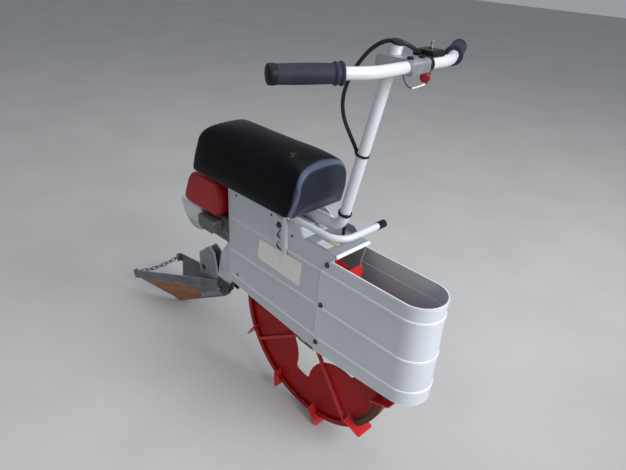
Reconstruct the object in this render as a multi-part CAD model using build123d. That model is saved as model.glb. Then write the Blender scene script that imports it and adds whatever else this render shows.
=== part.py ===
from build123d import *

import os
from math import atan, cos, degrees, pi, radians, sin, tan

os.makedirs("parts", exist_ok=True)

# Riding paddy ditcher, millimetres. +X is forward, +Y the rider's left, +Z up.
# The ground is z = 0 and the wheel's axle stands over x = axle_x.

# Wheel, running right of the middle beside its chain case
axle_x = -5.0
wheel_y = -20.0
lug_count = 10
lug_first_angle = 209.7
lug_tip_radius = 284.0
lug_depth = 22.0
lug_length = 57.0
lug_half_width = 27.0
lug_plate = 3.5
lug_corner = 4.0
lug_lean = 26.0
rim_half_width = 10.0
rim_sheet = 3.0
rim_lip = 14.0
disc_sheet = 3.0
disc_inset = 8.0
disc_eye_radius = 84.0
disc_opening_radius = 159.0
disc_web_radius = 116.0
disc_web_corner = 12.0
spoke_count = 4
spoke_first_angle = 214.5
spoke_width = 10.0
spoke_round = 3.0
hub_radius = 26.0
hub_near = 15.0
hub_far = 24.0
hub_flange = 5.0
hub_flange_radius = 34.0
hub_bore_clearance = 0.3
axle_radius = 10.0
axle_nut_radius = 15.0
axle_nut_length = 6.0


def lug_drop(angle):
    """How far below the axle a lug's tip reaches, with its plate's thickness."""
    rise = lug_plate / 2 * cos(radians(angle + lug_lean))
    return abs(rise) - lug_tip_radius * sin(radians(angle))


lug_angles = [lug_first_angle + 360.0 / lug_count * n for n in range(lug_count)]
axle_height = max(lug_drop(angle) for angle in lug_angles)
rim_radius = lug_tip_radius - lug_depth
lug_sweep_radius = lug_tip_radius + lug_plate / 2 * sin(radians(lug_lean))
wheel_top = axle_height + lug_sweep_radius

# Heights of the body, from the wheel's top up and from the axle down
sheet = 1.6
deck_sheet = 2.5
deck_room = 5.2
deck_top = wheel_top + deck_room + deck_sheet
cover_top = deck_top + 21.5
panel_top = cover_top + 9.5
nose_top = deck_top - 19.0
upper_bead_z = nose_top - 40.5
middle_bead_z = nose_top - 142.5
lower_bead_rear_z = axle_height + 50.0
lower_bead_seam_z = axle_height + 35.0
lower_bead_front_z = axle_height + 45.0
panel_bottom_rear = axle_height + 27.0
panel_bottom_kink_z = axle_height + 18.0
panel_bottom_front = axle_height - 7.0
nose_bottom_rear = axle_height - 9.0
nose_bottom_front = axle_height + 10.0
nose_hem = 1.6
nose_hem_height = 6.0
bead_rise = 1.8
bead_height = 7.0
bead_chamfer = 1.2
bead_inset = 8.0

# Lengths of the body, from the wheel out
body_half_width = 56.0
inner_half = body_half_width - sheet
rear_room = 28.0
nose_room = 3.0
body_rear_x = axle_x - lug_tip_radius - rear_room
nose_straight_x = axle_x + lug_tip_radius + nose_room
panel_bottom_kink_x = body_rear_x + 81.0
seam_bottom_x = axle_x + 39.0
seam_shoulder_x = axle_x + 49.0
seam_shoulder_z = nose_top - 40.0
seam_top_x = axle_x + 79.0
seam_overlap = 26.0
seam_gap = 0.5
nose_tail = 10.0
deck_rear_x = axle_x - 14.0
deck_front_x = axle_x + 91.0
riser_head_x = deck_rear_x - 16.0
riser_base = 20.0
lip_radius = 5.0
fit_clearance = 0.2
flange_height = 20.0
flange_length = 67.0
flange_corner = 10.0
slot_length = 37.0
slot_width = 28.0
slot_y = -32.0
slot_ahead = 8.0

# Frame, gear case, chain case and the right axle arm
bulkhead_sheet = 6.0
bulkhead_drop = 263.0
bulkhead_bottom = cover_top - bulkhead_drop
rail_width = 14.0
rail_height = 20.0
cross_length = 20.0
gear_case_length = 89.0
gear_case_height = 82.0
gear_case_right = -34.0
gear_case_round = 12.0
case_gap = 7.0
case_near_y = wheel_y + lug_half_width + case_gap
case_width = 26.0
case_nose_radius = 36.0
case_head_radius = 40.0
case_head_x = body_rear_x + 55.0
case_head_z = deck_top - 46.0
arm_sheet = 3.0
arm_height = 141.0
arm_top = axle_height + arm_height

# Seat
seat_overhang = 111.0
seat_length = 392.0
seat_rear_x = body_rear_x - seat_overhang
seat_front_x = seat_rear_x + seat_length
seat_half_width = 94.0
seat_bottom = cover_top + 34.0
seat_crown = 131.0
seat_front_lean = 16.0
seat_rear_lean = 26.0
seat_nose_height = 106.0
seat_tail_height = 92.0
seat_side_height = 84.0
seat_side_lean = 10.0
seat_shoulder = (64.0, 122.0)
seat_corner_radius = 8.0
seat_base_sheet = 3.5
seat_base_inset = 5.0
seat_gap = 0.3
seat_rail_y = 36.0
seat_rail_sheet = 4.0
seat_rail_inset = 138.0
seat_rail_length = 220.0

# Steering column and handlebar
column_radius = 12.7
column_wall = 2.0
column_lean = 13.19
column_foot_x = axle_x + 57.0
column_foot_z = deck_top + 77.0
column_end_wall = 4.0
neck_radius = 13.5
neck_wall = 2.5
neck_bend = 40.0
neck_rear_x = riser_head_x - 115.0
band_half_height = 8.0
band_wall = 2.5
cap_height = 5.0
cap_rise = 0.8
bar_radius = 11.1
bar_wall = 2.0
bar_ahead = 52.3
bar_z = column_foot_z + 348.5
bar_bend_y = 115.0
bar_bend_radius = 110.0
bar_sweep = 82.0
bar_end_y = 274.0
column_above_bar = 18.5
grip_radius = 17.5
grip_length = 124.0
grip_end = 5.0
grip_end_round = 4.0
grip_flange = 3.0
grip_flange_width = 5.0
grip_flange_pitch = 9.0
clamp_half_width = 26.0
clamp_half_height = 14.0
clamp_wall = 6.0
clamp_round = 8.0
housing_y = 48.0
housing_length = 38.0
housing_below = 8.0
housing_above = 22.0
housing_behind = 42.0
housing_ahead = 4.0
housing_round = 6.0
switch_y = 27.0
switch_length = 18.0
switch_half_width = 13.0
switch_below = 30.0
switch_above = 13.0
switch_round = 5.0
cable_radius = 3.2
cable_sink = 4.0

# Adjuster lever
lever_radius = 8.0
lever_z = deck_top + 39.5
lever_outset = 2.0
lever_y = -body_half_width - lever_outset
lever_bend = 42.0
lever_cross_x = deck_front_x + 10.0
lever_overhang = 12.0
lever_end_y = body_half_width + lever_overhang
plug_radius = 9.5
plug_length = 24.0
strap_width = 11.0
strap_sheet = 4.0
strap_x = axle_x - 70.0
strap_bottom = deck_top - 72.5
strap_above_lever = 4.0
guide_length = 43.0
guide_bottom = deck_top - 54.5
guide_top = deck_top + 22.5
notch_width = 14.0
notch_half_height = 3.0
notch_edge = 6.0
notch_heights = (deck_top - 26.5, deck_top - 45.5)

# Engine, carried on the bulkhead and reaching further to the right
engine_y = -17.0
engine_half_width = 61.0
crank_length = 113.0
crank_half_width = 43.0
crank_drop = 93.0
crank_height = 76.0
crank_top = cover_top - crank_drop
crank_bottom = crank_top - crank_height
crank_chamfer = 8.0
cover_gap = 0.5
cover_height = 105.5
cover_chamfer = 12.0
tank_length = 110.0
tank_half_width = 55.0
tank_height = 84.0
tank_bottom = crank_top - tank_height
tank_round = 10.0
tank_cap_radius = 18.0
tank_cap_length = 16.0
tank_cap_y = 13.0
tank_cap_drop = 30.0
tank_cap_z = crank_top - tank_cap_drop
starter_radius = 34.0
starter_depth = 24.0
starter_behind = 63.0
muffler_length = 80.0
muffler_depth = 32.0
muffler_height = 62.0
muffler_round = 8.0
part_gap = 0.3

# Plough hitch and plough
hinge_x = body_rear_x - 95.0
hinge_z = 212.0
hinge_pin_radius = 5.0
hinge_pin_end = 6.0
hitch_sheet = 4.0
hitch_half_gap = 24.0
hitch_above = 90.0
hitch_below = 5.0
hitch_top = bulkhead_bottom + hitch_above
hitch_bottom = bulkhead_bottom + hitch_below
plough_sheet = 4.0
plough_tip_x = hinge_x - 450.0
plough_tip_y = 98.0
plough_tip_z = 88.0
plough_band = 30.0
plough_flange = 16.0
plough_front_x = hinge_x - 20.0
plough_front_y = 17.0
plough_front_z = 228.0
keel_rear_x = hinge_x - 293.0
keel_front_x = hinge_x
keel_front_z = 182.0
keel_half_width = 10.0
keel_sheet = 6.0
keel_toe = 22.0
mast_half_gap = 12.0
mast_rear_x = hinge_x - 133.0
mast_top_z = 330.0
mast_hole_x = hinge_x - 106.0
mast_hole_z = 235.0
mast_hole_radius = 5.0
chain_links = 9
chain_wire = 2.0
chain_sag = 14.0
link_gap = 0.6
link_width = 11.0


def block(x0, x1, y0, y1, z0, z1):
    """A box from its lowest to its highest corner."""
    return Pos((x0 + x1) / 2, (y0 + y1) / 2, (z0 + z1) / 2) * Box(x1 - x0, y1 - y0, z1 - z0)


def side_plate(outline, y0, y1):
    """A plate in the XZ plane from y0 to y1."""
    face = make_face(Polyline(*[(x, y0, z) for x, z in outline], close=True))
    return extrude(face, amount=y1 - y0, dir=(0, 1, 0))


def rod(start, end, radius):
    """A round bar between two points."""
    axis = Vector(*end) - Vector(*start)
    return extrude(Plane(origin=start, z_dir=axis) * Circle(radius), amount=axis.length)


def bent_bar(points, radii, radius, bore=0.0):
    """A round bar, or a tube, along straight runs joined by arcs."""
    line = FilletPolyline(*points, radius=radii)
    section = Circle(radius) - Circle(bore) if bore else Circle(radius)
    return sweep(Plane(origin=points[0], z_dir=line % 0) * section, path=line)


def flat_plate(corners, thickness):
    """A sheet whose first three corners set its plane, the rest laid onto it."""
    a, b, c = [Vector(*p) for p in corners[:3]]
    normal = (b - a).cross(c - a).normalized()
    flat = [Vector(*p) - normal * (Vector(*p) - a).dot(normal) for p in corners]
    face = make_face(Polyline(*[tuple(v) for v in flat], close=True))
    return extrude(face, amount=thickness / 2, dir=tuple(normal), both=True)


parts = {}


def save(shape, name):
    """Keep a finished piece under its name."""
    parts[name] = shape


# Wheel: rim, disc, hub, spokes and lugs, all about the axle
def outward(angle):
    """Unit vector away from the axle at an angle in the side view."""
    return Vector(cos(radians(angle)), 0, sin(radians(angle)))


def wheel_ring(outer, inner, y0, y1):
    """A ring about the axle between two Y planes."""
    plane = Plane(origin=(axle_x, y1, axle_height), x_dir=(1, 0, 0), z_dir=(0, -1, 0))
    return extrude(plane * (Circle(outer) - Circle(inner)), amount=y1 - y0)


def disc_opening():
    """The disc's opening: a circle that one round-ended web per spoke reaches into."""
    opening = Circle(disc_opening_radius)
    for angle in spoke_angles:
        opening -= Rot(0, 0, angle) * Pos(disc_eye_radius + disc_web_radius, 0) * Circle(disc_web_radius)
    return fillet(opening.vertices(), disc_web_corner)


rim_near = wheel_y - rim_half_width
rim_far = wheel_y + rim_half_width
rim_inside = rim_radius - rim_sheet
lip_inside = rim_radius - rim_lip
rim = wheel_ring(rim_radius, rim_inside, rim_near, rim_far)
rim += wheel_ring(rim_radius, lip_inside, rim_near, rim_near + rim_sheet)
rim += wheel_ring(rim_radius, lip_inside, rim_far - rim_sheet, rim_far)
save(rim, "wheel_rim")

disc_near = rim_near + disc_inset
disc_far = disc_near + disc_sheet
spoke_angles = [spoke_first_angle + 360.0 / spoke_count * n for n in range(spoke_count)]
disc_outline = Circle(rim_inside) - disc_opening()
disc_plane = Plane(origin=(axle_x, disc_far, axle_height), x_dir=(1, 0, 0), z_dir=(0, -1, 0))
disc = extrude(disc_plane * disc_outline, amount=disc_sheet)
save(disc, "wheel_disc")

hub_hole = axle_radius + hub_bore_clearance
hub = wheel_ring(hub_radius, hub_hole, wheel_y - hub_near, wheel_y + hub_far)
hub += wheel_ring(hub_flange_radius, hub_hole, disc_near, disc_near + hub_flange)
save(hub, "wheel_hub")


def spoke(angle):
    """A bar on the disc's near face from the hub to the rim's lip, its outer edges rounded."""
    section = Rectangle(spoke_width, disc_inset)
    section = fillet(section.vertices().group_by(Axis.Y)[-1], spoke_round)
    along = outward(angle)
    plane = Plane(origin=Vector(axle_x, (rim_near + disc_near) / 2, axle_height),
                  x_dir=outward(angle + 90), z_dir=along)
    bar = extrude(plane * section, amount=rim_radius)
    return bar & wheel_ring(lip_inside, hub_radius, rim_near, disc_near)


spokes = [spoke(angle) for angle in spoke_angles]
save(Compound(children=spokes), "wheel_spokes")


def lug(angle):
    """A plate across the rim, leaning so that its outer edge runs ahead."""
    up = outward(angle + lug_lean)
    tip = Vector(axle_x, wheel_y, axle_height) + outward(angle) * lug_tip_radius
    outline = Pos(0, -lug_length / 2) * Rectangle(2 * lug_half_width, lug_length)
    outline = chamfer(outline.vertices().group_by(Axis.Y)[-1], lug_corner)
    plane = Plane(origin=tip, x_dir=(0, 1, 0), z_dir=Vector(0, 1, 0).cross(up))
    return extrude(plane * outline, amount=lug_plate / 2, both=True)


lugs = [solid for angle in lug_angles for solid in (lug(angle) - rim - disc).solids()]
save(Compound(children=lugs), "wheel_lugs")

# Axle with its shoulder, the right arm, and the chain case that carries the left end
case_far_y = case_near_y + case_width
arm_near_y = -inner_half
axle = rod((axle_x, arm_near_y, axle_height), (axle_x, case_far_y, axle_height), axle_radius)
axle += rod((axle_x, arm_near_y + arm_sheet, axle_height),
            (axle_x, arm_near_y + arm_sheet + axle_nut_length, axle_height), axle_nut_radius)
save(axle, "axle")

arm_bore = rod((axle_x, -body_half_width, axle_height), (axle_x, body_half_width, axle_height),
               axle_radius + fit_clearance)
arm_outline = [(axle_x - 25, axle_height - 7), (axle_x - 12, axle_height - 13),
               (axle_x + 40, axle_height - 15), (axle_x + 34, arm_top), (axle_x - 60, arm_top)]
arm_right = side_plate(arm_outline, arm_near_y, arm_near_y + arm_sheet)
save(arm_right - arm_bore, "axle_arm_right")

case_run = Vector(case_head_x - axle_x, 0, case_head_z - axle_height)
case_side = case_run.normalized().cross(Vector(0, 1, 0))
case_nose = Vector(axle_x, 0, axle_height)
case_head = Vector(case_head_x, 0, case_head_z)
case_corners = [case_nose + case_side * case_nose_radius, case_head + case_side * case_head_radius,
                case_head - case_side * case_head_radius, case_nose - case_side * case_nose_radius]
chain_case = side_plate([(corner.X, corner.Z) for corner in case_corners], case_near_y, case_far_y)
for end, radius in ((case_nose, case_nose_radius), (case_head, case_head_radius)):
    chain_case += rod((end.X, case_near_y, end.Z), (end.X, case_far_y, end.Z), radius)
save(chain_case - arm_bore, "chain_case")

# Side panels with their beads
riser_foot_x = deck_rear_x
panel_front_x = deck_front_x - lip_radius - fit_clearance
deck_under = deck_top - deck_sheet
cover_under = cover_top - deck_sheet
panel_outline = [(body_rear_x, panel_bottom_rear), (panel_bottom_kink_x, panel_bottom_kink_z),
                 (seam_bottom_x + seam_overlap, panel_bottom_front),
                 (seam_shoulder_x + seam_overlap, seam_shoulder_z),
                 (panel_front_x, nose_top), (panel_front_x, deck_under),
                 (riser_foot_x, deck_under), (riser_head_x, cover_under),
                 (riser_head_x - riser_base, panel_top), (body_rear_x, panel_top)]
bead_table = [
    # height at the rear, height at the seam
    (upper_bead_z, upper_bead_z),
    (middle_bead_z, middle_bead_z),
    (lower_bead_rear_z, lower_bead_seam_z),
]
seam_cut = [(body_rear_x, 0), (seam_bottom_x - seam_gap, 0),
            (seam_bottom_x - seam_gap, panel_bottom_front), (seam_shoulder_x - seam_gap, seam_shoulder_z),
            (seam_top_x - seam_gap, nose_top),
            (seam_top_x, panel_top), (body_rear_x, panel_top)]
bead_rear_x = body_rear_x + bead_inset
bead_front_x = seam_shoulder_x + 2 * bead_rise


def bead_strip(x0, z0, x1, z1, y0, y1, height=bead_height):
    """A bead's flat strip between two points of its middle line."""
    half = height / 2
    return side_plate([(x0, z0 - half), (x1, z1 - half), (x1, z1 + half), (x0, z0 + half)], y0, y1)


for side, name in ((-1, "side_panel_right"), (1, "side_panel_left")):
    low, high = sorted((side * body_half_width, side * inner_half))
    panel = side_plate(panel_outline, low, high)
    low, high = sorted((side * body_half_width, side * (body_half_width + bead_rise)))
    for rear_z, seam_z in bead_table:
        strip = bead_strip(bead_rear_x, rear_z, bead_front_x, seam_z, low, high)
        outer_edges = strip.faces().sort_by(Axis.Y)[-1 if side > 0 else 0].edges()
        panel += chamfer(outer_edges, bead_chamfer) & side_plate(seam_cut, low, high)
    save(panel, name)

# Nose guard: a U of sheet outside the panels, with beads and a rolled top edge
nose_outer = body_half_width + sheet
nose_front_x = nose_straight_x + nose_outer


def nose_profile(half_width):
    """Plan outline of the U, closed at its straight rear end."""
    rear = seam_bottom_x - nose_tail
    square = Pos((rear + nose_straight_x) / 2, 0) * Rectangle(nose_straight_x - rear, 2 * half_width)
    return square + Pos(nose_straight_x, 0) * Circle(half_width)


def nose_shell(outer_half, inner_half, z0, z1):
    """A wall of the U between two half widths and two heights."""
    ring = nose_profile(outer_half) - nose_profile(inner_half)
    return Pos(0, 0, z0) * extrude(ring, amount=z1 - z0)


def nose_distance(edge):
    """How far an edge's middle lies from the middle line of the U."""
    middle = edge.position_at(0.5)
    return Vector(max(middle.X - nose_straight_x, 0), middle.Y).length


nose_end_x = nose_front_x + nose_tail
nose_cut = [(seam_bottom_x, nose_bottom_rear), (nose_end_x, nose_bottom_front), (nose_end_x, nose_top),
            (seam_top_x, nose_top), (seam_shoulder_x, seam_shoulder_z)]
nose_slab = side_plate(nose_cut, -nose_outer - nose_tail, nose_outer + nose_tail)
nose = nose_shell(nose_outer, body_half_width, 0, nose_top)
nose += nose_shell(nose_outer + nose_hem, nose_outer, nose_top - nose_hem_height, nose_top)
nose &= nose_slab
bead_outer = nose_outer + bead_rise
bead_shell = nose_shell(bead_outer, nose_outer - sheet / 2, 0, nose_top)
groove_shell = nose_shell(bead_outer - sheet, inner_half, 0, nose_top)
groove_height = bead_height - 2 * bead_chamfer
nose_bead_table = [
    # height at the seam, height at the front
    (upper_bead_z, upper_bead_z),
    (middle_bead_z, middle_bead_z),
    (lower_bead_seam_z, lower_bead_front_z),
]
for seam_z, front_z in nose_bead_table:
    run = (bead_front_x, seam_z, nose_end_x, front_z, -nose_outer - nose_tail, nose_outer + nose_tail)
    bead = bead_shell & bead_strip(*run)
    outer_edges = [edge for edge in bead.edges() if edge.bounding_box().size.X > bead_height
                   and abs(nose_distance(edge) - bead_outer) < bead_chamfer / 2]
    nose += chamfer(outer_edges, bead_chamfer)
    nose -= groove_shell & bead_strip(*run, groove_height)
save(nose, "nose_guard")

# Deck plate in front of the seat, with its folded lip and left flange
deck = block(deck_rear_x, deck_front_x, -body_half_width, body_half_width, deck_under, deck_top)
lip_z = deck_top - lip_radius
deck += rod((deck_front_x, -body_half_width, lip_z), (deck_front_x, body_half_width, lip_z), lip_radius)
flange_rear_x = deck_rear_x + fit_clearance
flange_outline = [(flange_rear_x, deck_top), (flange_rear_x + flange_length, deck_top),
                  (flange_rear_x + flange_length, deck_top + flange_height - flange_corner),
                  (flange_rear_x + flange_length - flange_corner, deck_top + flange_height),
                  (flange_rear_x, deck_top + flange_height)]
deck_plate = deck + side_plate(flange_outline, inner_half, body_half_width)

# Top cover between the panels, with its sloping riser
bulkhead_front_x = body_rear_x + bulkhead_sheet
cover = block(bulkhead_front_x, riser_head_x, -inner_half, inner_half, cover_under, cover_top)
riser = side_plate([(riser_head_x, cover_under), (riser_head_x, cover_top), (riser_foot_x, deck_top),
                    (riser_foot_x, deck_under)], -inner_half, inner_half)
slot_front_x = riser_head_x - slot_ahead
slot = block(slot_front_x - slot_length, slot_front_x, slot_y - slot_width / 2, slot_y + slot_width / 2,
             cover_under, cover_top)
save(cover + riser - slot, "top_cover")

# Rear bulkhead, rails with their cross pieces, and the gear case behind the wheel's top
bulkhead = block(body_rear_x, bulkhead_front_x, -inner_half, inner_half, bulkhead_bottom, cover_top)
save(bulkhead, "rear_bulkhead")

rail_bottom = cover_under - rail_height
main_frame = None
for side in (-1, 1):
    y_low, y_high = sorted((side * (inner_half - rail_width), side * inner_half))
    rail = block(bulkhead_front_x, riser_head_x, y_low, y_high, rail_bottom, cover_under)
    main_frame = rail if main_frame is None else main_frame + rail
for x in (bulkhead_front_x, riser_head_x - cross_length):
    main_frame += block(x, x + cross_length, -inner_half, inner_half, rail_bottom, cover_under)
save(main_frame, "main_frame")

gear_case = block(bulkhead_front_x, bulkhead_front_x + gear_case_length, gear_case_right, case_near_y,
                  rail_bottom - gear_case_height, rail_bottom)
save(fillet(gear_case.edges().filter_by(Axis.Y), gear_case_round), "gear_case")

# Seat base with its two rails, and the pad
base_top = seat_bottom - seat_gap
base_under = base_top - seat_base_sheet
seat_base = block(seat_rear_x + seat_base_inset, seat_front_x - seat_base_inset,
                  -seat_half_width + seat_base_inset, seat_half_width - seat_base_inset,
                  base_under, base_top)
seat_rail_x = seat_rear_x + seat_rail_inset
for side in (-1, 1):
    y_low, y_high = sorted((side * seat_rail_y, side * (seat_rail_y + seat_rail_sheet)))
    seat_base += block(seat_rail_x, seat_rail_x + seat_rail_length, y_low, y_high, cover_top, base_under)
save(seat_base, "seat_base")


def seat_side_view():
    """The pad from the side: front leaning out at the top, rear leaning in."""
    top = seat_bottom + seat_crown
    nose_point = (seat_front_x + seat_front_lean, seat_bottom + seat_nose_height)
    tail_point = (seat_rear_x + seat_rear_lean, seat_bottom + seat_tail_height)
    nose_top_point = (seat_front_x - seat_crown + seat_nose_height, top)
    tail_top_point = (seat_rear_x + 2 * (seat_crown - seat_tail_height), top)
    low_rear = (seat_rear_x, seat_bottom)
    low_front = (seat_front_x, seat_bottom)
    return [Line(low_rear, low_front), Line(low_front, nose_point),
            TangentArc(nose_point, nose_top_point, tangent=(seat_front_lean, seat_nose_height)),
            Line(nose_top_point, tail_top_point),
            TangentArc(tail_point, tail_top_point, tangent=(seat_rear_lean, seat_tail_height)),
            Line(tail_point, low_rear)]


def seat_cross_view():
    """The pad from the front: sides leaning in, round shoulders, crowned top."""
    top = seat_bottom + seat_crown
    shoulder_y, shoulder_rise = seat_shoulder
    side_y = seat_half_width - seat_side_lean
    side_z = seat_bottom + seat_side_height
    shoulder_z = seat_bottom + shoulder_rise
    edges = [Line((-seat_half_width, seat_bottom), (seat_half_width, seat_bottom)),
             ThreePointArc((-shoulder_y, shoulder_z), (0, top), (shoulder_y, shoulder_z))]
    for side in (-1, 1):
        edges.append(Line((side * seat_half_width, seat_bottom), (side * side_y, side_z)))
        edges.append(TangentArc((side * side_y, side_z), (side * shoulder_y, shoulder_z),
                                tangent=(-side * seat_side_lean, seat_side_height)))
    return edges


side_plane = Plane(origin=(0, seat_half_width, 0), x_dir=(1, 0, 0), z_dir=(0, -1, 0))
cross_plane = Plane(origin=(seat_rear_x, 0, 0), x_dir=(0, 1, 0), z_dir=(1, 0, 0))
pad = extrude(side_plane * make_face(seat_side_view()), amount=2 * seat_half_width)
pad &= extrude(cross_plane * make_face(seat_cross_view()), amount=seat_length + seat_front_lean)
corner_edges = [edge for edge in pad.edges()
                if edge.bounding_box().size.Z > seat_side_height - 1 and edge.bounding_box().size.Y > 1
                and edge.center().Z < seat_bottom + seat_side_height]
save(fillet(corner_edges, seat_corner_radius), "seat_pad")

# Column: bent neck, band, tube and cap
column_axis = Vector(sin(radians(column_lean)), 0, cos(radians(column_lean)))
foot = Vector(column_foot_x, 0, column_foot_z)
neck_z = cover_top + seat_gap + neck_radius


def on_column(z):
    """Point of the column's axis at a height."""
    return foot + column_axis * ((z - column_foot_z) / column_axis.Z)


top = on_column(bar_z + column_above_bar)
neck_points = [(neck_rear_x, 0, neck_z), tuple(on_column(neck_z)), tuple(foot)]
neck = bent_bar(neck_points, [neck_bend], neck_radius, neck_radius - neck_wall)
save(neck, "column_base")
column = rod(tuple(foot), tuple(top), column_radius)
column -= rod(tuple(foot + column_axis * column_end_wall), tuple(top - column_axis * column_end_wall),
              column_radius - column_wall)
save(column, "column_tube")
band_bore = neck_radius + fit_clearance
band_ends = (tuple(foot - column_axis * band_half_height), tuple(foot + column_axis * band_half_height))
save(rod(*band_ends, band_bore + band_wall) - rod(*band_ends, band_bore), "column_band")
save(rod(tuple(top), tuple(top + column_axis * cap_height), column_radius + cap_rise), "column_cap")

# Handlebar, clamp and grips
column_at_bar = on_column(bar_z)
bar_x = column_at_bar.X + bar_ahead
bar_end_x = bar_x - bar_sweep
bar_points = [(bar_end_x, -bar_end_y, bar_z), (bar_x, -bar_bend_y, bar_z), (bar_x, bar_bend_y, bar_z),
              (bar_end_x, bar_end_y, bar_z)]
save(bent_bar(bar_points, [bar_bend_radius] * 2, bar_radius, bar_radius - bar_wall), "handlebar")
bar_bore = rod((bar_x, -bar_bend_y, bar_z), (bar_x, bar_bend_y, bar_z), bar_radius + fit_clearance)
clamp = block(column_at_bar.X - column_radius - clamp_wall, bar_x + bar_radius + clamp_wall,
              -clamp_half_width, clamp_half_width, bar_z - clamp_half_height, bar_z + clamp_half_height)
clamp = fillet(clamp.edges().filter_by(Axis.Y), clamp_round)
clamp -= bar_bore
clamp -= rod(tuple(foot), tuple(top), column_radius + fit_clearance)
save(clamp, "bar_clamp")


def grip(side):
    """A sleeve over the bar's end, closed outside, with two flanges inside."""
    end = Vector(bar_end_x, side * bar_end_y, bar_z)
    inward = (Vector(bar_x, side * bar_bend_y, bar_z) - end).normalized()
    closed_end = end - inward * grip_end
    body = rod(tuple(closed_end), tuple(end + inward * grip_length), grip_radius)
    rounds = body.edges().filter_by(GeomType.CIRCLE).sort_by_distance(tuple(closed_end))
    body = fillet(rounds[0], grip_end_round)
    for stop in (grip_length - grip_flange_pitch, grip_length):
        body += rod(tuple(end + inward * (stop - grip_flange_width)), tuple(end + inward * stop),
                    grip_radius + grip_flange)
    return body - rod(tuple(end), tuple(end + inward * grip_length), bar_radius + fit_clearance)


save(grip(-1), "grip_right")
save(grip(1), "grip_left")

# Throttle housing behind the bar near its left bend, stop switch under its middle
housing = block(bar_x - housing_behind, bar_x + housing_ahead, housing_y, housing_y + housing_length,
                bar_z - housing_below, bar_z + housing_above)
housing = fillet(housing.edges().filter_by(Axis.Y), housing_round) - bar_bore
save(housing, "throttle_housing")
switch = block(bar_x - switch_half_width, bar_x + switch_half_width, switch_y, switch_y + switch_length,
               bar_z - switch_below, bar_z + switch_above)
save(fillet(switch.edges().filter_by(Axis.Y), switch_round) - bar_bore, "kill_switch")

# Throttle cable from its housing over the column's top, down behind it and into the deck
cable_table = [
    # ahead of the column's axis, to the left, above the bar
    (22.8, housing_y, 14.9), (19.3, 25, 25.9), (7.7, 2, 36.9), (-16.5, -12, 37.9), (-40.6, -18, 20.9),
    (-59.5, -21, -9.1), (-73.1, -23, -45.1), (-76.7, -23, -85.1), (-66.3, -18, -125.1),
    (-43.9, -8, -161.1), (-18.5, 2, -197.1), (-12.8, 12, -232.1), (-10.9, 13, -272.1),
    (-11.5, 14.5, -312.1), (-14.1, 19, -352.1), (-9.2, 25, -390.1),
    (-3.0, 26, deck_top - cable_sink - bar_z),
]
cable_points = [(on_column(bar_z + above).X + ahead, left, bar_z + above)
                for ahead, left, above in cable_table]


def arc_radii(points, share=0.45):
    """Largest tangent arc at each corner, as a share of the shorter run beside it."""
    radii = []
    for before, corner, after in zip(points, points[1:], points[2:]):
        first = Vector(*corner) - Vector(*before)
        second = Vector(*after) - Vector(*corner)
        turn = radians(first.get_angle(second))
        radii.append(share * min(first.length, second.length) / tan(turn / 2))
    return radii


cable_radii = arc_radii(cable_points)
cable = bent_bar(cable_points, cable_radii, cable_radius)
cable_length = FilletPolyline(*cable_points, radius=cable_radii).length
print("cable arcs", [round(r) for r in cable_radii], "length", round(cable_length),
      "volume ratio", round(cable.volume / (pi * cable_radius ** 2 * cable_length), 4))
save(cable - housing, "throttle_cable")
cable_foot = Vector(*cable_points[-1])
cable_entry = cable_foot - Vector(*cable_points[-2])
cable_bore = rod(cable_points[-2], tuple(cable_foot + cable_entry), cable_radius + fit_clearance)
save(deck_plate - cable_bore, "deck_plate")

# Adjuster lever across the deck, its plug, flat arm and guide plate
lever = bent_bar([(strap_x, lever_y, lever_z), (lever_cross_x, lever_y, lever_z),
                  (lever_cross_x, lever_end_y, lever_z)], [lever_bend], lever_radius)
guide_y = -body_half_width
strap_y = guide_y - strap_sheet
strap = block(strap_x - strap_width, strap_x, strap_y - strap_sheet, strap_y, strap_bottom,
              lever_z + strap_above_lever)
save(lever + strap, "adjuster_lever")
save(rod((lever_cross_x, lever_end_y, lever_z), (lever_cross_x, lever_end_y + plug_length, lever_z),
         plug_radius), "lever_plug")
guide_rear_x = strap_x - guide_length
guide = block(guide_rear_x, strap_x, strap_y, guide_y, guide_bottom, guide_top)
for z in notch_heights:
    guide -= block(guide_rear_x + notch_edge, guide_rear_x + notch_edge + notch_width, strap_y, guide_y,
                   z - notch_half_height, z + notch_half_height)
save(guide, "lever_guide")

# Engine: crank case, cover, tank, cap, starter, muffler
crank_rear_x = body_rear_x - crank_length
crank = block(crank_rear_x, body_rear_x, engine_y - crank_half_width, engine_y + crank_half_width,
              crank_bottom, crank_top)
save(chamfer(crank.edges().filter_by(Axis.X), crank_chamfer), "engine_block")
cover_outline = [
    # distance behind the body, height over the crank case
    (9.0, 0.0), (9.0, 83.5), (33.0, 103.5), (145.0, 105.5), (195.0, 59.5), (213.0, 0.0),
]
cover_foot = crank_top + cover_gap
engine_cover = side_plate([(body_rear_x - back, cover_foot + rise) for back, rise in cover_outline],
                          engine_y - engine_half_width, engine_y + engine_half_width)
cover_edges = [edge for edge in engine_cover.edges()
               if abs(edge.center().Y - engine_y) > engine_half_width - 1
               and edge.center().Z > cover_foot + cover_chamfer]
save(chamfer(cover_edges, cover_chamfer), "engine_cover")

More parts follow.
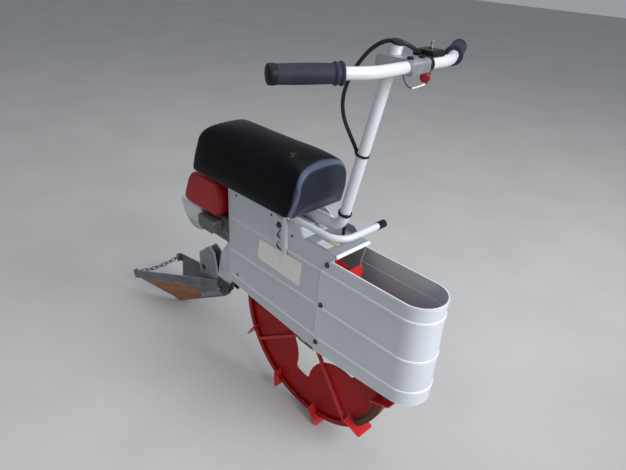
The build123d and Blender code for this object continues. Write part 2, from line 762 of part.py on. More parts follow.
tank_front_x = crank_rear_x - part_gap
tank = block(tank_front_x - tank_length, tank_front_x,
             engine_y - tank_half_width, engine_y + tank_half_width, tank_bottom, crank_top)
save(fillet(tank.edges(), tank_round), "fuel_tank")
cap_start_x = tank_front_x - tank_length - part_gap
save(rod((cap_start_x, tank_cap_y, tank_cap_z), (cap_start_x - tank_cap_length, tank_cap_y, tank_cap_z),
         tank_cap_radius), "fuel_cap")
starter_y = engine_y + crank_half_width + part_gap
engine_axis = (body_rear_x - starter_behind, (crank_bottom + crank_top) / 2)
starter_start = (engine_axis[0], starter_y, engine_axis[1])
starter_end = (engine_axis[0], starter_y + starter_depth, engine_axis[1])
save(rod(starter_start, starter_end, starter_radius), "recoil_starter")
muffler_y = engine_y - crank_half_width - part_gap
muffler = block(engine_axis[0] - muffler_length / 2, engine_axis[0] + muffler_length / 2,
                muffler_y - muffler_depth, muffler_y,
                engine_axis[1] - muffler_height / 2, engine_axis[1] + muffler_height / 2)
save(fillet(muffler.edges(), muffler_round), "muffler")

# Hitch bracket on the bulkhead, its pin, and the plough
hitch_outline = [(body_rear_x, hitch_top), (body_rear_x, hitch_bottom), (hinge_x + 22, hinge_z - 16),
                 (hinge_x - 14, hinge_z - 14), (hinge_x - 16, hinge_z + 14),
                 (hinge_x + 12, hitch_bottom + 10), (hinge_x + 62, hitch_top)]
hitch = None
for side in (-1, 1):
    y_low, y_high = sorted((side * hitch_half_gap, side * (hitch_half_gap + hitch_sheet)))
    plate = side_plate(hitch_outline, y_low, y_high)
    hitch = plate if hitch is None else hitch + plate
hitch_half_width = hitch_half_gap + hitch_sheet
hitch += block(body_rear_x - hitch_sheet, body_rear_x, -hitch_half_width, hitch_half_width,
               hitch_bottom, hitch_top)
pin_half = hitch_half_width + hinge_pin_end
pin_bore = rod((hinge_x, -pin_half, hinge_z), (hinge_x, pin_half, hinge_z),
               hinge_pin_radius + fit_clearance)
save(hitch - pin_bore, "hitch_bracket")
save(rod((hinge_x, -pin_half, hinge_z), (hinge_x, pin_half, hinge_z), hinge_pin_radius), "hitch_pin")

wings = []
for side, name in ((-1, "plough_wing_right"), (1, "plough_wing_left")):
    tip = (plough_tip_x, side * plough_tip_y, plough_tip_z)
    front = (plough_front_x, side * plough_front_y, plough_front_z)
    tip_fold = (plough_tip_x + 6, side * (plough_tip_y - 3), plough_tip_z - plough_band)
    front_fold = (plough_front_x + 8, side * (plough_front_y - 2), plough_front_z - plough_band)
    band_plate = flat_plate([tip, front, front_fold, tip_fold], plough_sheet)
    keel_rear = (keel_rear_x, side * keel_half_width, keel_sheet)
    keel_front = (keel_front_x, side * keel_half_width, keel_front_z)
    tip_low = (plough_tip_x + 32, side * (plough_tip_y - 8), plough_tip_z - plough_band + 9)
    face_plate = flat_plate([keel_rear, tip_low, front_fold, keel_front], plough_sheet)
    tip_inner = (tip[0], side * (plough_tip_y - plough_flange), tip[2])
    fold_inner = (tip_fold[0], side * (plough_tip_y - plough_flange), tip_fold[2])
    rear_flange = flat_plate([tip, tip_fold, fold_inner, tip_inner], plough_sheet)
    y_low, y_high = sorted((0, side * 2 * plough_tip_y))
    half_space = block(plough_tip_x - plough_band, keel_front_x, y_low, y_high, 0, mast_top_z)
    wing = (band_plate + face_plate + rear_flange) & half_space
    wings.append(wing)
    save(wing, name)


def keel_z(x):
    """Height of the keel's top edge."""
    return keel_sheet + (x - keel_rear_x) * (keel_front_z - keel_sheet) / (keel_front_x - keel_rear_x)


keel = side_plate([(keel_rear_x - keel_toe, keel_sheet + 5), (keel_rear_x - 3, 0), (keel_rear_x + 6, 0),
                   (keel_front_x, keel_z(keel_front_x) - 8), (keel_front_x, keel_z(keel_front_x)),
                   (keel_rear_x, keel_sheet)], -keel_half_width - 2, keel_half_width + 2)
for wing in wings:
    keel -= wing
save(keel, "plough_keel")

mast_outline = [(mast_rear_x, keel_z(mast_rear_x)), (mast_rear_x + plough_sheet, mast_top_z - 46),
                (hinge_x - 72, mast_top_z), (hinge_x - 43, mast_top_z - 16), (hinge_x - 28, hinge_z + 24),
                (hinge_x + 12, hinge_z + 15), (hinge_x + 14, hinge_z - 14),
                (keel_front_x, keel_z(keel_front_x))]
mast = None
for side in (-1, 1):
    y_low, y_high = sorted((side * mast_half_gap, side * (mast_half_gap + plough_sheet)))
    plate = side_plate(mast_outline, y_low, y_high)
    mast = plate if mast is None else mast + plate
mast += block(mast_rear_x, mast_rear_x + plough_sheet, -mast_half_gap, mast_half_gap, mast_top_z - 140,
              mast_top_z - 60)
mast -= pin_bore
mast -= rod((mast_hole_x, -pin_half, mast_hole_z), (mast_hole_x, pin_half, mast_hole_z), mast_hole_radius)
for piece in (*wings, keel):
    mast -= piece
save(mast, "plough_mast")

# Drag chain between the wings' rear corners
chain_half = plough_tip_y - 6
link_pitch = 2 * chain_half / chain_links
link_run = link_pitch + 2 * chain_wire + link_gap
link_path = SlotCenterToCenter(link_run - link_width, link_width).wire()
link = sweep(Plane(origin=link_path @ 0, z_dir=link_path % 0) * Circle(chain_wire), path=link_path)
chain = []
for n in range(chain_links):
    y = (n - (chain_links - 1) / 2) * link_pitch
    share = y / chain_half
    drop = chain_sag * (1 - share ** 2)
    slope = degrees(atan(2 * chain_sag * share / chain_half))
    turned = Rot(slope, 0, 0) * (Rot(0, 90 * (n % 2), 0) * (Rot(0, 0, 90) * link))
    placed = Pos(plough_tip_x + 8, y, plough_tip_z - 6 - drop) * turned
    chain.extend((placed - wings[0] - wings[1]).solids())
save(Compound(children=chain), "plough_chain")

# Every piece goes out with the origin on the ground, half way along the object
boxes = [shape.bounding_box() for shape in parts.values()]
origin_x = (min(box.min.X for box in boxes) + max(box.max.X for box in boxes)) / 2
print("origin from the axle datum", round(origin_x, 3))
for name, shape in parts.items():
    moved = [Pos(-origin_x, 0, 0) * solid for solid in shape.solids()]
    export_step(moved[0] if len(moved) == 1 else Compound(moved), f"parts/{name}.step")
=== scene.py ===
import math

import bmesh
import bpy
from mathutils import Matrix, Vector


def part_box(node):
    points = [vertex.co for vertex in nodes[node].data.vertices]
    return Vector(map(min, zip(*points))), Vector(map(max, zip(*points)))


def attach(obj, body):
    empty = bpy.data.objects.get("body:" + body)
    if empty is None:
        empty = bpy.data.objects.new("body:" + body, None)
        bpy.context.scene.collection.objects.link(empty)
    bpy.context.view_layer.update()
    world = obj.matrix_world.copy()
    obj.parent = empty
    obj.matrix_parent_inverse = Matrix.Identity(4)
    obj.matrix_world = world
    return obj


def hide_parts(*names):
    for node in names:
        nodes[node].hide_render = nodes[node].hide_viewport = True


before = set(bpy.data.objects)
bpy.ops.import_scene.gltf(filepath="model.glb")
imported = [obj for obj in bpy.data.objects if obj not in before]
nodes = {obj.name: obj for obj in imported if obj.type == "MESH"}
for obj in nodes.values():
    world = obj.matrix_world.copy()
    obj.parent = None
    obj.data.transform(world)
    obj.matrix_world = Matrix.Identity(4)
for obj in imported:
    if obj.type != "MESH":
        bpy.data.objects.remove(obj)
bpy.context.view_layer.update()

MM = 0.001

# Datum: on the ground, 5 mm ahead of the axle, from which the places below are measured
axle_low, axle_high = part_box("axle")
AXLE = ((axle_low.x + axle_high.x) / 2, 0.0, (axle_low.z + axle_high.z) / 2)
DATUM_X = AXLE[0] + 5 * MM

# Numbers that Blender gives the colour sockets of a Mix node
MIX_A, MIX_B, MIX_RESULT = 6, 7, 2


def place(x, y, z):
    """A point given in millimetres from the datum."""
    return Vector((DATUM_X + x * MM, y * MM, z * MM))


# Node graphs

class Graph:
    """A material's nodes, with its principled shader."""

    def __init__(self, name, roughness=0.5, metallic=0.0, **sockets):
        self.material = bpy.data.materials.new(name)
        self.material.use_nodes = True
        self.tree = self.material.node_tree
        self.shader = self.tree.nodes["Principled BSDF"]
        self.shader.inputs["Roughness"].default_value = roughness
        self.shader.inputs["Metallic"].default_value = metallic
        for socket, value in sockets.items():
            self.shader.inputs[socket.replace("_", " ")].default_value = value
        self.coordinates = self.tree.nodes.new("ShaderNodeTexCoord").outputs["Object"]

    def add(self, kind, settings=None, **inputs):
        """A new node; inputs go by their names, or by their numbers after an underscore."""
        node = self.tree.nodes.new(kind)
        for key, value in (settings or {}).items():
            setattr(node, key, value)
        for key, value in inputs.items():
            socket = node.inputs[int(key[1:])] if key[0] == "_" else node.inputs[key.replace("_", " ")]
            if isinstance(value, bpy.types.NodeSocket):
                self.tree.links.new(value, socket)
            else:
                socket.default_value = value
        return node

    def stretched(self, scale):
        """The coordinates scaled along each axis, for marks that are drawn out one way."""
        return self.add("ShaderNodeMapping", Vector=self.coordinates, Scale=scale).outputs[0]

    def noise(self, scale, detail=4.0, roughness=0.55, vector=None):
        node = self.add("ShaderNodeTexNoise", Vector=vector or self.coordinates, Scale=scale,
                        Detail=detail, Roughness=roughness)
        return node.outputs["Fac"]

    def ramp(self, value, low, high):
        """0 below low, 1 above high; low may be the larger one."""
        settings = {"clamp": True, "interpolation_type": "SMOOTHSTEP"}
        node = self.add("ShaderNodeMapRange", settings, Value=value)
        node.inputs["From Min"].default_value = low
        node.inputs["From Max"].default_value = high
        return node.outputs["Result"]

    def times(self, a, b):
        """The product, kept between 0 and 1."""
        settings = {"operation": "MULTIPLY", "use_clamp": True}
        return self.add("ShaderNodeMath", settings, _0=a, _1=b).outputs[0]

    def scaled_sum(self, value, factor, other):
        """value times factor, plus other."""
        node = self.add("ShaderNodeMath", {"operation": "MULTIPLY_ADD"}, _0=value, _1=factor, _2=other)
        return node.outputs[0]

    def vector(self, operation, a, b=None):
        """The node of a vector operation on one or two vectors."""
        inputs = {"_0": a} if b is None else {"_0": a, "_1": b}
        return self.add("ShaderNodeVectorMath", {"operation": operation}, **inputs)

    def distance(self, point):
        """How far the surface lies from a point."""
        return self.vector("DISTANCE", self.coordinates, point).outputs["Value"]

    def mix(self, share, a, b):
        """Colour a turning into colour b as the share goes from 0 to 1."""
        node = self.add("ShaderNodeMix", {"data_type": "RGBA"}, Factor=share)
        for socket, value in ((node.inputs[MIX_A], a), (node.inputs[MIX_B], b)):
            if isinstance(value, bpy.types.NodeSocket):
                self.tree.links.new(value, socket)
            else:
                socket.default_value = (*value, 1.0)
        return node.outputs[MIX_RESULT]

    def edges(self, radius, low=0.004, high=0.08):
        """A mask of the sharp edges, from how far a bevel of that radius would turn the surface."""
        bevel = self.add("ShaderNodeBevel", {"samples": 6}, Radius=radius).outputs[0]
        flat = self.add("ShaderNodeNewGeometry").outputs["Normal"]
        dot = self.vector("DOT_PRODUCT", bevel, flat).outputs["Value"]
        return self.ramp(dot, 1 - low, 1 - high)

    def place(self, axis):
        """The surface's place along X, Y or Z."""
        return self.add("ShaderNodeSeparateXYZ", Vector=self.coordinates).outputs[axis]

    def facing(self, axis):
        """How far the surface faces along X, Y or Z."""
        normal = self.add("ShaderNodeNewGeometry").outputs["Normal"]
        return self.add("ShaderNodeSeparateXYZ", Vector=normal).outputs[axis]

    def link(self, value, socket):
        self.tree.links.new(value, self.shader.inputs[socket])

    def bump(self, value, strength, distance):
        node = self.add("ShaderNodeBump", Height=value, Strength=strength, Distance=distance)
        self.link(node.outputs[0], "Normal")

    def spread(self, value, low, high):
        """The roughness, from low to high with the value."""
        node = self.add("ShaderNodeMapRange", Value=value)
        node.inputs["To Min"].default_value = low
        node.inputs["To Max"].default_value = high
        self.link(node.outputs["Result"], "Roughness")


def paint(name, colour, roughness, dust, scratch, coat, bright=0.0, chip=0.0, chip_colour=None):
    """Sprayed sheet metal: faint clouds, dust, fine scratches, orange peel, chipped edges, and a painted
    highlight along the edges.
    """
    g = Graph(name, roughness=roughness)
    g.shader.inputs["Coat Weight"].default_value = coat
    g.shader.inputs["Coat Roughness"].default_value = 0.15
    clouds = g.noise(5.0, 5)
    tone = g.mix(g.ramp(clouds, 0.35, 0.7), colour, tuple(c * 0.93 for c in colour))
    grime = g.times(g.ramp(g.noise(34.0, 8, 0.65), 0.48, 0.78), dust)
    tone = g.mix(grime, tone, (0.30, 0.27, 0.23))
    streaks = g.noise(1.0, 3, 0.5, g.stretched((420, 420, 26)))
    tone = g.mix(g.times(g.ramp(streaks, 0.66, 0.74), scratch), tone,
                 tuple(c * 0.55 for c in colour))
    if bright:
        # Painted highlight: the edges lightened towards near white as if they caught the light.
        tone = g.mix(g.times(g.edges(0.0030, 0.003, 0.05), bright), tone, (0.86, 0.87, 0.89))
    if chip:
        worn = g.times(g.edges(0.0015), g.ramp(g.noise(90.0, 6, 0.7), 0.62 - chip, 0.68))
        tone = g.mix(worn, tone, chip_colour)
    g.link(tone, "Base Color")
    g.spread(g.noise(60.0, 4), roughness - 0.08, roughness + 0.14)
    g.bump(g.noise(700.0, 2), 0.06, 0.0004)
    return g.material


def body_paint():
    return paint("body_paint", (0.50, 0.515, 0.55), 0.36, dust=0.14, scratch=0.12, coat=0.1, bright=0.75)


def nose_paint():
    return paint("nose_paint", (0.55, 0.575, 0.62), 0.32, dust=0.12, scratch=0.10, coat=0.15, bright=0.75)


def enamel():
    return paint("white_enamel", (0.58, 0.60, 0.64), 0.26, dust=0.12, scratch=0.10, chip=0.05, coat=0.25,
                 chip_colour=(0.30, 0.27, 0.25))


def deck_paint():
    """Grey-blue paint with rubbed edges; its rolled front lip painted near white, a painted highlight for
    the light it catches facing front and up.
    """
    g = Graph("deck_paint", roughness=0.40)
    lip = g.ramp(g.place("X"), place(84.5, 0, 0).x, place(85.5, 0, 0).x)
    tone = g.mix(g.ramp(g.noise(9.0, 5), 0.3, 0.7), (0.30, 0.33, 0.38), (0.25, 0.28, 0.33))
    tone = g.mix(g.times(g.ramp(g.noise(40.0, 8, 0.65), 0.52, 0.78), 0.35), tone, (0.16, 0.16, 0.16))
    # Painted highlight: the lip is made near white for the light it catches.
    tone = g.mix(lip, tone, (0.78, 0.79, 0.80))
    worn = g.times(g.edges(0.0015), g.ramp(g.noise(90.0, 6, 0.7), 0.46, 0.68))
    tone = g.mix(worn, tone, (0.58, 0.58, 0.58))
    g.link(tone, "Base Color")
    g.spread(g.noise(60.0, 4), 0.30, 0.52)
    g.bump(g.noise(700.0, 2), 0.08, 0.0004)
    return g.material


def frame_paint():
    return paint("frame_paint", (0.055, 0.050, 0.052), 0.5, dust=0.4, scratch=0.2, coat=0.0)


def wheel_paint():
    """Dark red enamel on the wheel, rubbed bare at its edges and brown where the soil wears it."""
    g = Graph("wheel_paint", roughness=0.36, Specular_IOR_Level=0.15)
    tone = g.mix(g.ramp(g.noise(7.0, 6), 0.3, 0.72), (0.37, 0.0060, 0.0050), (0.27, 0.0050, 0.0042))
    mud = g.times(g.ramp(g.noise(26.0, 9, 0.7), 0.56, 0.82), 0.22)
    tone = g.mix(mud, tone, (0.16, 0.075, 0.05))
    from_axle = g.vector("SUBTRACT", g.coordinates, AXLE).outputs[0]
    in_plane = g.vector("MULTIPLY", from_axle, (1, 0, 1)).outputs[0]
    across = g.vector("LENGTH", in_plane).outputs["Value"]
    tread = g.times(g.ramp(across, 0.256, 0.2615), g.ramp(g.noise(18.0, 7, 0.7), 0.40, 0.60))
    tone = g.mix(tread, tone, (0.115, 0.055, 0.042))
    spot = g.distance((AXLE[0] + 0.214, AXLE[1] - 0.025, AXLE[2] - 0.140))
    patch = g.times(g.ramp(across, 0.238, 0.243), g.ramp(spot, 0.085, 0.055))
    tone = g.mix(g.times(patch, 0.92), tone, (0.085, 0.048, 0.038))
    worn = g.times(g.edges(0.0022), g.ramp(g.noise(55.0, 7, 0.7), 0.44, 0.66))
    tone = g.mix(worn, tone, (0.24, 0.13, 0.11))
    rubs = g.ramp(g.noise(1.0, 4, 0.6, g.stretched((60, 300, 60))), 0.72, 0.77)
    tone = g.mix(g.times(rubs, 0.35), tone, (0.30, 0.16, 0.14))
    g.link(tone, "Base Color")
    g.spread(g.noise(40.0, 5), 0.26, 0.50)
    g.bump(g.noise(420.0, 4), 0.08, 0.0005)
    return g.material


def lug_paint():
    """The lugs' red, painted lighter than the wheel's to stand in for the light they catch, and worn
    through to steel at the tips.
    """
    g = Graph("lug_paint", roughness=0.32, Specular_IOR_Level=0.4)
    # Painted highlight: a lighter copy of the wheel's red, also used on the spokes.
    tone = g.mix(g.ramp(g.noise(12.0, 6), 0.3, 0.7), (0.52, 0.018, 0.022), (0.40, 0.012, 0.016))
    worn = g.times(g.edges(0.0026), g.ramp(g.noise(70.0, 7, 0.7), 0.46, 0.64))
    tone = g.mix(worn, tone, (0.44, 0.24, 0.22))
    mud = g.times(g.ramp(g.noise(38.0, 9, 0.7), 0.58, 0.80), 0.30)
    tone = g.mix(mud, tone, (0.20, 0.10, 0.07))
    g.link(tone, "Base Color")
    g.spread(g.noise(60.0, 5), 0.22, 0.5)
    g.bump(g.noise(500.0, 4), 0.10, 0.0005)
    return g.material


def vinyl():
    """Smooth black moulded skin with a fine pore; its forward-facing surfaces painted blue-grey as a
    painted reflection, with a painted highlight where the front edge turns.
    """
    g = Graph("seat_vinyl", roughness=0.34, Specular_IOR_Level=0.09)
    ahead = g.facing("X")
    # Painted reflection: the surfaces facing forward get a blue-grey tone for the light they reflect.
    front = g.ramp(ahead, 0.30, 0.66)
    # Painted highlight: a lighter blue band where the front edge turns.
    turn = g.times(g.ramp(ahead, 0.34, 0.60), g.ramp(ahead, 0.965, 0.84))
    black = g.mix(g.ramp(g.noise(4.0, 5), 0.42, 0.68), (0.0022, 0.0022, 0.0030), (0.0042, 0.0046, 0.0066))
    front_reflection = g.mix(g.ramp(g.noise(6.0, 5), 0.35, 0.7), (0.019, 0.021, 0.032), (0.027, 0.030, 0.046))
    tone = g.mix(front, black, front_reflection)
    tone = g.mix(g.times(turn, 0.9), tone, (0.090, 0.105, 0.165))
    scuffs = g.ramp(g.noise(1.0, 5, 0.6, g.stretched((70, 330, 300))), 0.705, 0.735)
    reach = g.distance(place(-90, -36, 746))
    tone = g.mix(g.times(g.times(scuffs, g.ramp(g.noise(5.0, 2), 0.54, 0.66)), 0.6), tone,
                 (0.13, 0.12, 0.095))
    rub = g.times(g.ramp(g.noise(1.0, 4, 0.6, g.stretched((60, 260, 260))), 0.56, 0.61),
                 g.ramp(reach, 0.017, 0.009))
    tone = g.mix(g.times(rub, 0.6), tone, (0.17, 0.16, 0.12))
    g.link(tone, "Base Color")
    g.spread(g.noise(9.0, 6), 0.26, 0.44)
    pores = g.add("ShaderNodeTexVoronoi", {"feature": "F1"}, Vector=g.coordinates, Scale=620.0)
    g.bump(pores.outputs["Distance"], 0.05, 0.0006)
    return g.material


def rubber(name, colour, roughness=0.62, bump=0.12):
    g = Graph(name, roughness=roughness, Specular_IOR_Level=0.2)
    tone = g.mix(g.ramp(g.noise(30.0, 6), 0.35, 0.7), colour, tuple(c * 1.35 + 0.001 for c in colour))
    g.link(tone, "Base Color")
    g.spread(g.noise(80.0, 4), roughness - 0.12, roughness + 0.12)
    g.bump(g.noise(900.0, 3), bump, 0.0005)
    return g.material


def cast_alloy():
    g = Graph("cast_alloy", roughness=0.38, metallic=0.85)
    tone = g.mix(g.ramp(g.noise(24.0, 6), 0.3, 0.7), (0.47, 0.48, 0.52), (0.34, 0.35, 0.39))
    g.link(tone, "Base Color")
    g.spread(g.noise(90.0, 5), 0.28, 0.55)
    g.bump(g.noise(650.0, 5), 0.25, 0.0005)
    return g.material


def zinc():
    g = Graph("zinc_steel", roughness=0.35, metallic=1.0)
    tone = g.mix(g.ramp(g.noise(60.0, 6), 0.3, 0.7), (0.50, 0.50, 0.51), (0.30, 0.28, 0.26))
    g.link(tone, "Base Color")
    g.spread(g.noise(120.0, 5), 0.25, 0.5)
    g.bump(g.noise(900.0, 3), 0.15, 0.0003)
    return g.material


def engine_red():
    g = Graph("engine_red", roughness=0.30, Specular_IOR_Level=0.25)
    tone = g.mix(g.ramp(g.noise(9.0, 5), 0.3, 0.7), (0.37, 0.003, 0.005), (0.25, 0.003, 0.006))
    dust = g.times(g.ramp(g.noise(45.0, 8, 0.7), 0.58, 0.8), 0.15)
    tone = g.mix(dust, tone, (0.35, 0.16, 0.14))
    g.link(tone, "Base Color")
    g.spread(g.noise(50.0, 5), 0.2, 0.42)
    g.bump(g.noise(600.0, 3), 0.08, 0.0004)
    return g.material


def engine_metal():
    g = Graph("engine_metal", roughness=0.5, metallic=0.45)
    tone = g.mix(g.ramp(g.noise(40.0, 7), 0.3, 0.7), (0.165, 0.155, 0.165), (0.085, 0.095, 0.088))
    oil = g.times(g.ramp(g.noise(16.0, 7, 0.7), 0.55, 0.75), 0.4)
    tone = g.mix(oil, tone, (0.05, 0.038, 0.025))
    g.link(tone, "Base Color")
    g.spread(g.noise(70.0, 6), 0.35, 0.7)
    g.bump(g.noise(500.0, 5), 0.3, 0.0006)
    return g.material


def tank_plastic():
    """Translucent white tank, darker below the fuel's level."""
    g = Graph("tank_plastic", roughness=0.38)
    g.shader.inputs["Subsurface Weight"].default_value = 0.25
    g.shader.inputs["Subsurface Scale"].default_value = 0.01
    level = g.ramp(g.place("Z"), 0.440, 0.449)
    tone = g.mix(level, (0.42, 0.41, 0.37), (0.56, 0.58, 0.56))
    stain = g.times(g.ramp(g.noise(28.0, 8, 0.7), 0.5, 0.8), 0.3)
    tone = g.mix(stain, tone, (0.36, 0.35, 0.31))
    g.link(tone, "Base Color")
    g.spread(g.noise(60.0, 4), 0.3, 0.5)
    g.bump(g.noise(500.0, 3), 0.1, 0.0004)
    return g.material


# The wings' fold: a line of this slope along X, at this height where the datum is
FOLD_HEIGHT = 0.3405
FOLD_SLOPE = 0.326


def plough_paint():
    """Blue-grey worn steel, bright at the edges, with brown rust on the outer faces below the fold and
    painted shade on the faces turned inward.
    """
    g = Graph("plough_paint", roughness=0.42, metallic=0.25)
    steel = g.mix(g.ramp(g.noise(14.0, 7), 0.3, 0.72), (0.155, 0.165, 0.21), (0.105, 0.105, 0.125))
    rust = g.mix(g.ramp(g.noise(32.0, 8, 0.7), 0.35, 0.7), (0.40, 0.15, 0.040), (0.175, 0.075, 0.032))
    x = g.place("X")
    along = g.scaled_sum(x, -FOLD_SLOPE, g.place("Z"))
    ragged = g.scaled_sum(g.noise(30.0, 6), 0.016, along)
    fold = FOLD_HEIGHT - FOLD_SLOPE * DATUM_X
    below = g.ramp(ragged, fold + 0.009, fold + 0.001)
    behind = g.ramp(g.scaled_sum(g.noise(16.0, 6), 0.10, x), DATUM_X - 0.470, DATUM_X - 0.520)
    side = g.add("ShaderNodeMath", {"operation": "MULTIPLY"}, _0=g.place("Y"), _1=g.facing("Y")).outputs[0]
    outer = g.ramp(side, 0.0, 0.001)
    # Painted shade: the faces turned towards the middle, between the wings, are darkened.
    inner_shade = g.times(g.ramp(side, 0.0, -0.001), 0.55)
    steel = g.mix(inner_shade, steel, (0.055, 0.055, 0.062))
    soil = g.times(g.times(below, behind), outer)
    tone = g.mix(soil, steel, rust)
    specks = g.times(g.ramp(g.noise(75.0, 9, 0.75), 0.62, 0.74), 0.5)
    tone = g.mix(specks, tone, (0.13, 0.07, 0.04))
    bright = g.times(g.edges(0.0020), g.ramp(g.noise(50.0, 6, 0.7), 0.36, 0.6))
    tone = g.mix(bright, tone, (0.50, 0.52, 0.56))
    g.link(tone, "Base Color")
    g.spread(g.noise(50.0, 6), 0.30, 0.62)
    g.bump(g.noise(260.0, 6), 0.22, 0.0007)
    return g.material


def mast_paint():
    """Lighter grey plate with bright rubbed edges, and a near-black disc painted at its hole for the shade
    inside it.
    """
    g = Graph("mast_paint", roughness=0.40, metallic=0.2)
    tone = g.mix(g.ramp(g.noise(18.0, 7), 0.3, 0.72), (0.25, 0.255, 0.31), (0.17, 0.17, 0.20))
    bright = g.times(g.edges(0.0065, 0.004, 0.04), g.ramp(g.place("Z"), 0.225, 0.245))
    tone = g.mix(bright, tone, (0.74, 0.78, 0.86))
    # Painted shade: near black round the hole, for the shade inside it.
    from_hole = g.distance(place(-518, -16, 235))
    tone = g.mix(g.ramp(from_hole, 0.0125, 0.0095), tone, (0.018, 0.012, 0.016))
    stain = g.times(g.ramp(g.noise(34.0, 8, 0.7), 0.56, 0.78), 0.5)
    tone = g.mix(stain, tone, (0.10, 0.075, 0.07))
    g.link(tone, "Base Color")
    g.spread(g.noise(60.0, 6), 0.32, 0.55)
    g.bump(g.noise(320.0, 5), 0.15, 0.0005)
    return g.material


def hitch_paint():
    """Pale galvanised plates, black where they hold the pin."""
    g = Graph("hitch_paint", roughness=0.38, metallic=0.2)
    pale = g.mix(g.ramp(g.noise(22.0, 7), 0.3, 0.7), (0.60, 0.61, 0.66), (0.42, 0.43, 0.47))
    height = g.scaled_sum(g.noise(26.0, 6), 0.02, g.place("Z"))
    tone = g.mix(g.ramp(height, 0.272, 0.262), pale, (0.022, 0.020, 0.022))
    stain = g.times(g.ramp(g.noise(36.0, 8, 0.7), 0.56, 0.78), 0.35)
    tone = g.mix(stain, tone, (0.14, 0.11, 0.09))
    g.link(tone, "Base Color")
    g.spread(g.noise(50.0, 6), 0.30, 0.55)
    g.bump(g.noise(320.0, 5), 0.15, 0.0005)
    return g.material


def plain_plastic(name, colour, roughness=0.4, mottle=0.8):
    g = Graph(name, roughness=roughness, Specular_IOR_Level=0.25)
    tone = g.mix(g.ramp(g.noise(50.0, 6), 0.35, 0.7), colour, tuple(c * mottle for c in colour))
    g.link(tone, "Base Color")
    g.spread(g.noise(90.0, 4), roughness - 0.08, roughness + 0.12)
    g.bump(g.noise(800.0, 2), 0.06, 0.0003)
    return g.material


MATERIAL = {
    "body": body_paint(), "nose": nose_paint(), "enamel": enamel(), "deck": deck_paint(),
    "frame": frame_paint(), "wheel": wheel_paint(), "lug": lug_paint(), "vinyl": vinyl(),
    "grip": rubber("grip_rubber", (0.015, 0.018, 0.032), 0.6),
    "grip_cap": rubber("grip_cap", (0.004, 0.004, 0.004), 0.5),
    "rubber": rubber("black_rubber", (0.010, 0.010, 0.011)),
    "cable": rubber("cable_sheath", (0.012, 0.014, 0.018), 0.34, 0.04),
    "plastic": plain_plastic("black_plastic", (0.006, 0.007, 0.009), 0.42),
    "alloy": cast_alloy(), "zinc": zinc(), "engine_red": engine_red(), "engine_metal": engine_metal(),
    "tank": tank_plastic(), "plough": plough_paint(), "hitch": hitch_paint(), "mast": mast_paint(),
    "cream": plain_plastic("cream_label", (0.78, 0.765, 0.72), 0.45, mottle=0.93),
    "label": plain_plastic("white_label", (0.74, 0.73, 0.74), 0.35),
    "yellow": plain_plastic("yellow_label", (0.62, 0.60, 0.30), 0.35),
    "red_button": plain_plastic("red_button", (0.24, 0.006, 0.022), 0.28),
    "dark_steel": plain_plastic("dark_steel", (0.055, 0.055, 0.060), 0.3),
    "sleeve": plain_plastic("wire_sleeve", (0.72, 0.70, 0.60), 0.4),
}

NODE_MATERIAL = {
    "body": ["side_panel_right", "side_panel_left", "lever_guide"],
    "nose": ["nose_guard"],
    "deck": ["deck_plate"],
    "enamel": ["column_base", "column_tube", "handlebar", "adjuster_lever", "top_cover", "seat_base"],
    "frame": ["rear_bulkhead", "main_frame", "gear_case", "chain_case", "axle_arm_right"],
    "hitch": ["hitch_bracket"],
    "wheel": ["wheel_rim", "wheel_disc", "wheel_hub"],
    "lug": ["wheel_lugs", "wheel_spokes"],
    "plastic": ["column_band", "column_cap", "throttle_housing", "kill_switch", "lever_plug", "fuel_cap",
                "recoil_starter"],
    "alloy": ["bar_clamp"],
    "engine_red": ["engine_cover"],
    "engine_metal": ["engine_block", "muffler"],
    "tank": ["fuel_tank"],
    "plough": ["plough_wing_right", "plough_wing_left", "plough_keel", "plough_chain"],
    "mast": ["plough_mast"],
    "zinc": ["axle", "hitch_pin"],
    "vinyl": ["seat_pad"],
    "grip": ["grip_right", "grip_left"],
    "cable": ["throttle_cable"],
}
for key, names in NODE_MATERIAL.items():
    for name in names:
        mesh = nodes[name].data
        mesh.materials.clear()
        mesh.materials.append(MATERIAL[key])


# Rounded edges on the sheet metal and castings, laid over the fixed shapes

SHARP_ANGLE = 38.0


def shade_smooth(mesh):
    for polygon in mesh.polygons:
        polygon.use_smooth = True


def soften(names, width, segments=2):
    """Rounds the nodes' sharp edges off, by a width in millimetres."""
    for name in names:
        modifier = nodes[name].modifiers.new("Rounded", "BEVEL")
        modifier.width = width * MM
        modifier.segments = segments
        modifier.limit_method = "ANGLE"
        modifier.angle_limit = math.radians(SHARP_ANGLE)
        modifier.harden_normals = True
        shade_smooth(nodes[name].data)


soften(["side_panel_right", "side_panel_left", "nose_guard", "wheel_disc", "wheel_rim"], 0.5)
soften(["deck_plate", "top_cover", "seat_base", "lever_guide", "wheel_spokes", "wheel_hub",
        "adjuster_lever"], 0.8)
soften(["wheel_lugs", "plough_wing_right", "plough_wing_left", "plough_keel", "plough_mast",
        "hitch_bracket", "main_frame", "rear_bulkhead", "gear_case", "chain_case", "axle_arm_right"], 0.9)
soften(["bar_clamp", "throttle_housing", "kill_switch", "column_cap", "column_band", "engine_block",
        "engine_cover", "recoil_starter", "fuel_cap", "lever_plug"], 1.2, segments=3)
for name in ("column_tube", "column_base", "handlebar", "plough_chain", "axle", "hitch_pin", "fuel_tank",
             "muffler"):
    shade_smooth(nodes[name].data)
    nodes[name].modifiers.new("Edges", "EDGE_SPLIT").split_angle = math.radians(35)


# Making pieces

def piece(name, mesh, body, material, smooth=True):
    """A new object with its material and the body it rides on."""
    obj = bpy.data.objects.new(name, mesh)
    bpy.context.scene.collection.objects.link(obj)
    mesh.materials.append(material)
    if smooth:
        shade_smooth(mesh)
    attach(obj, body)
    return obj


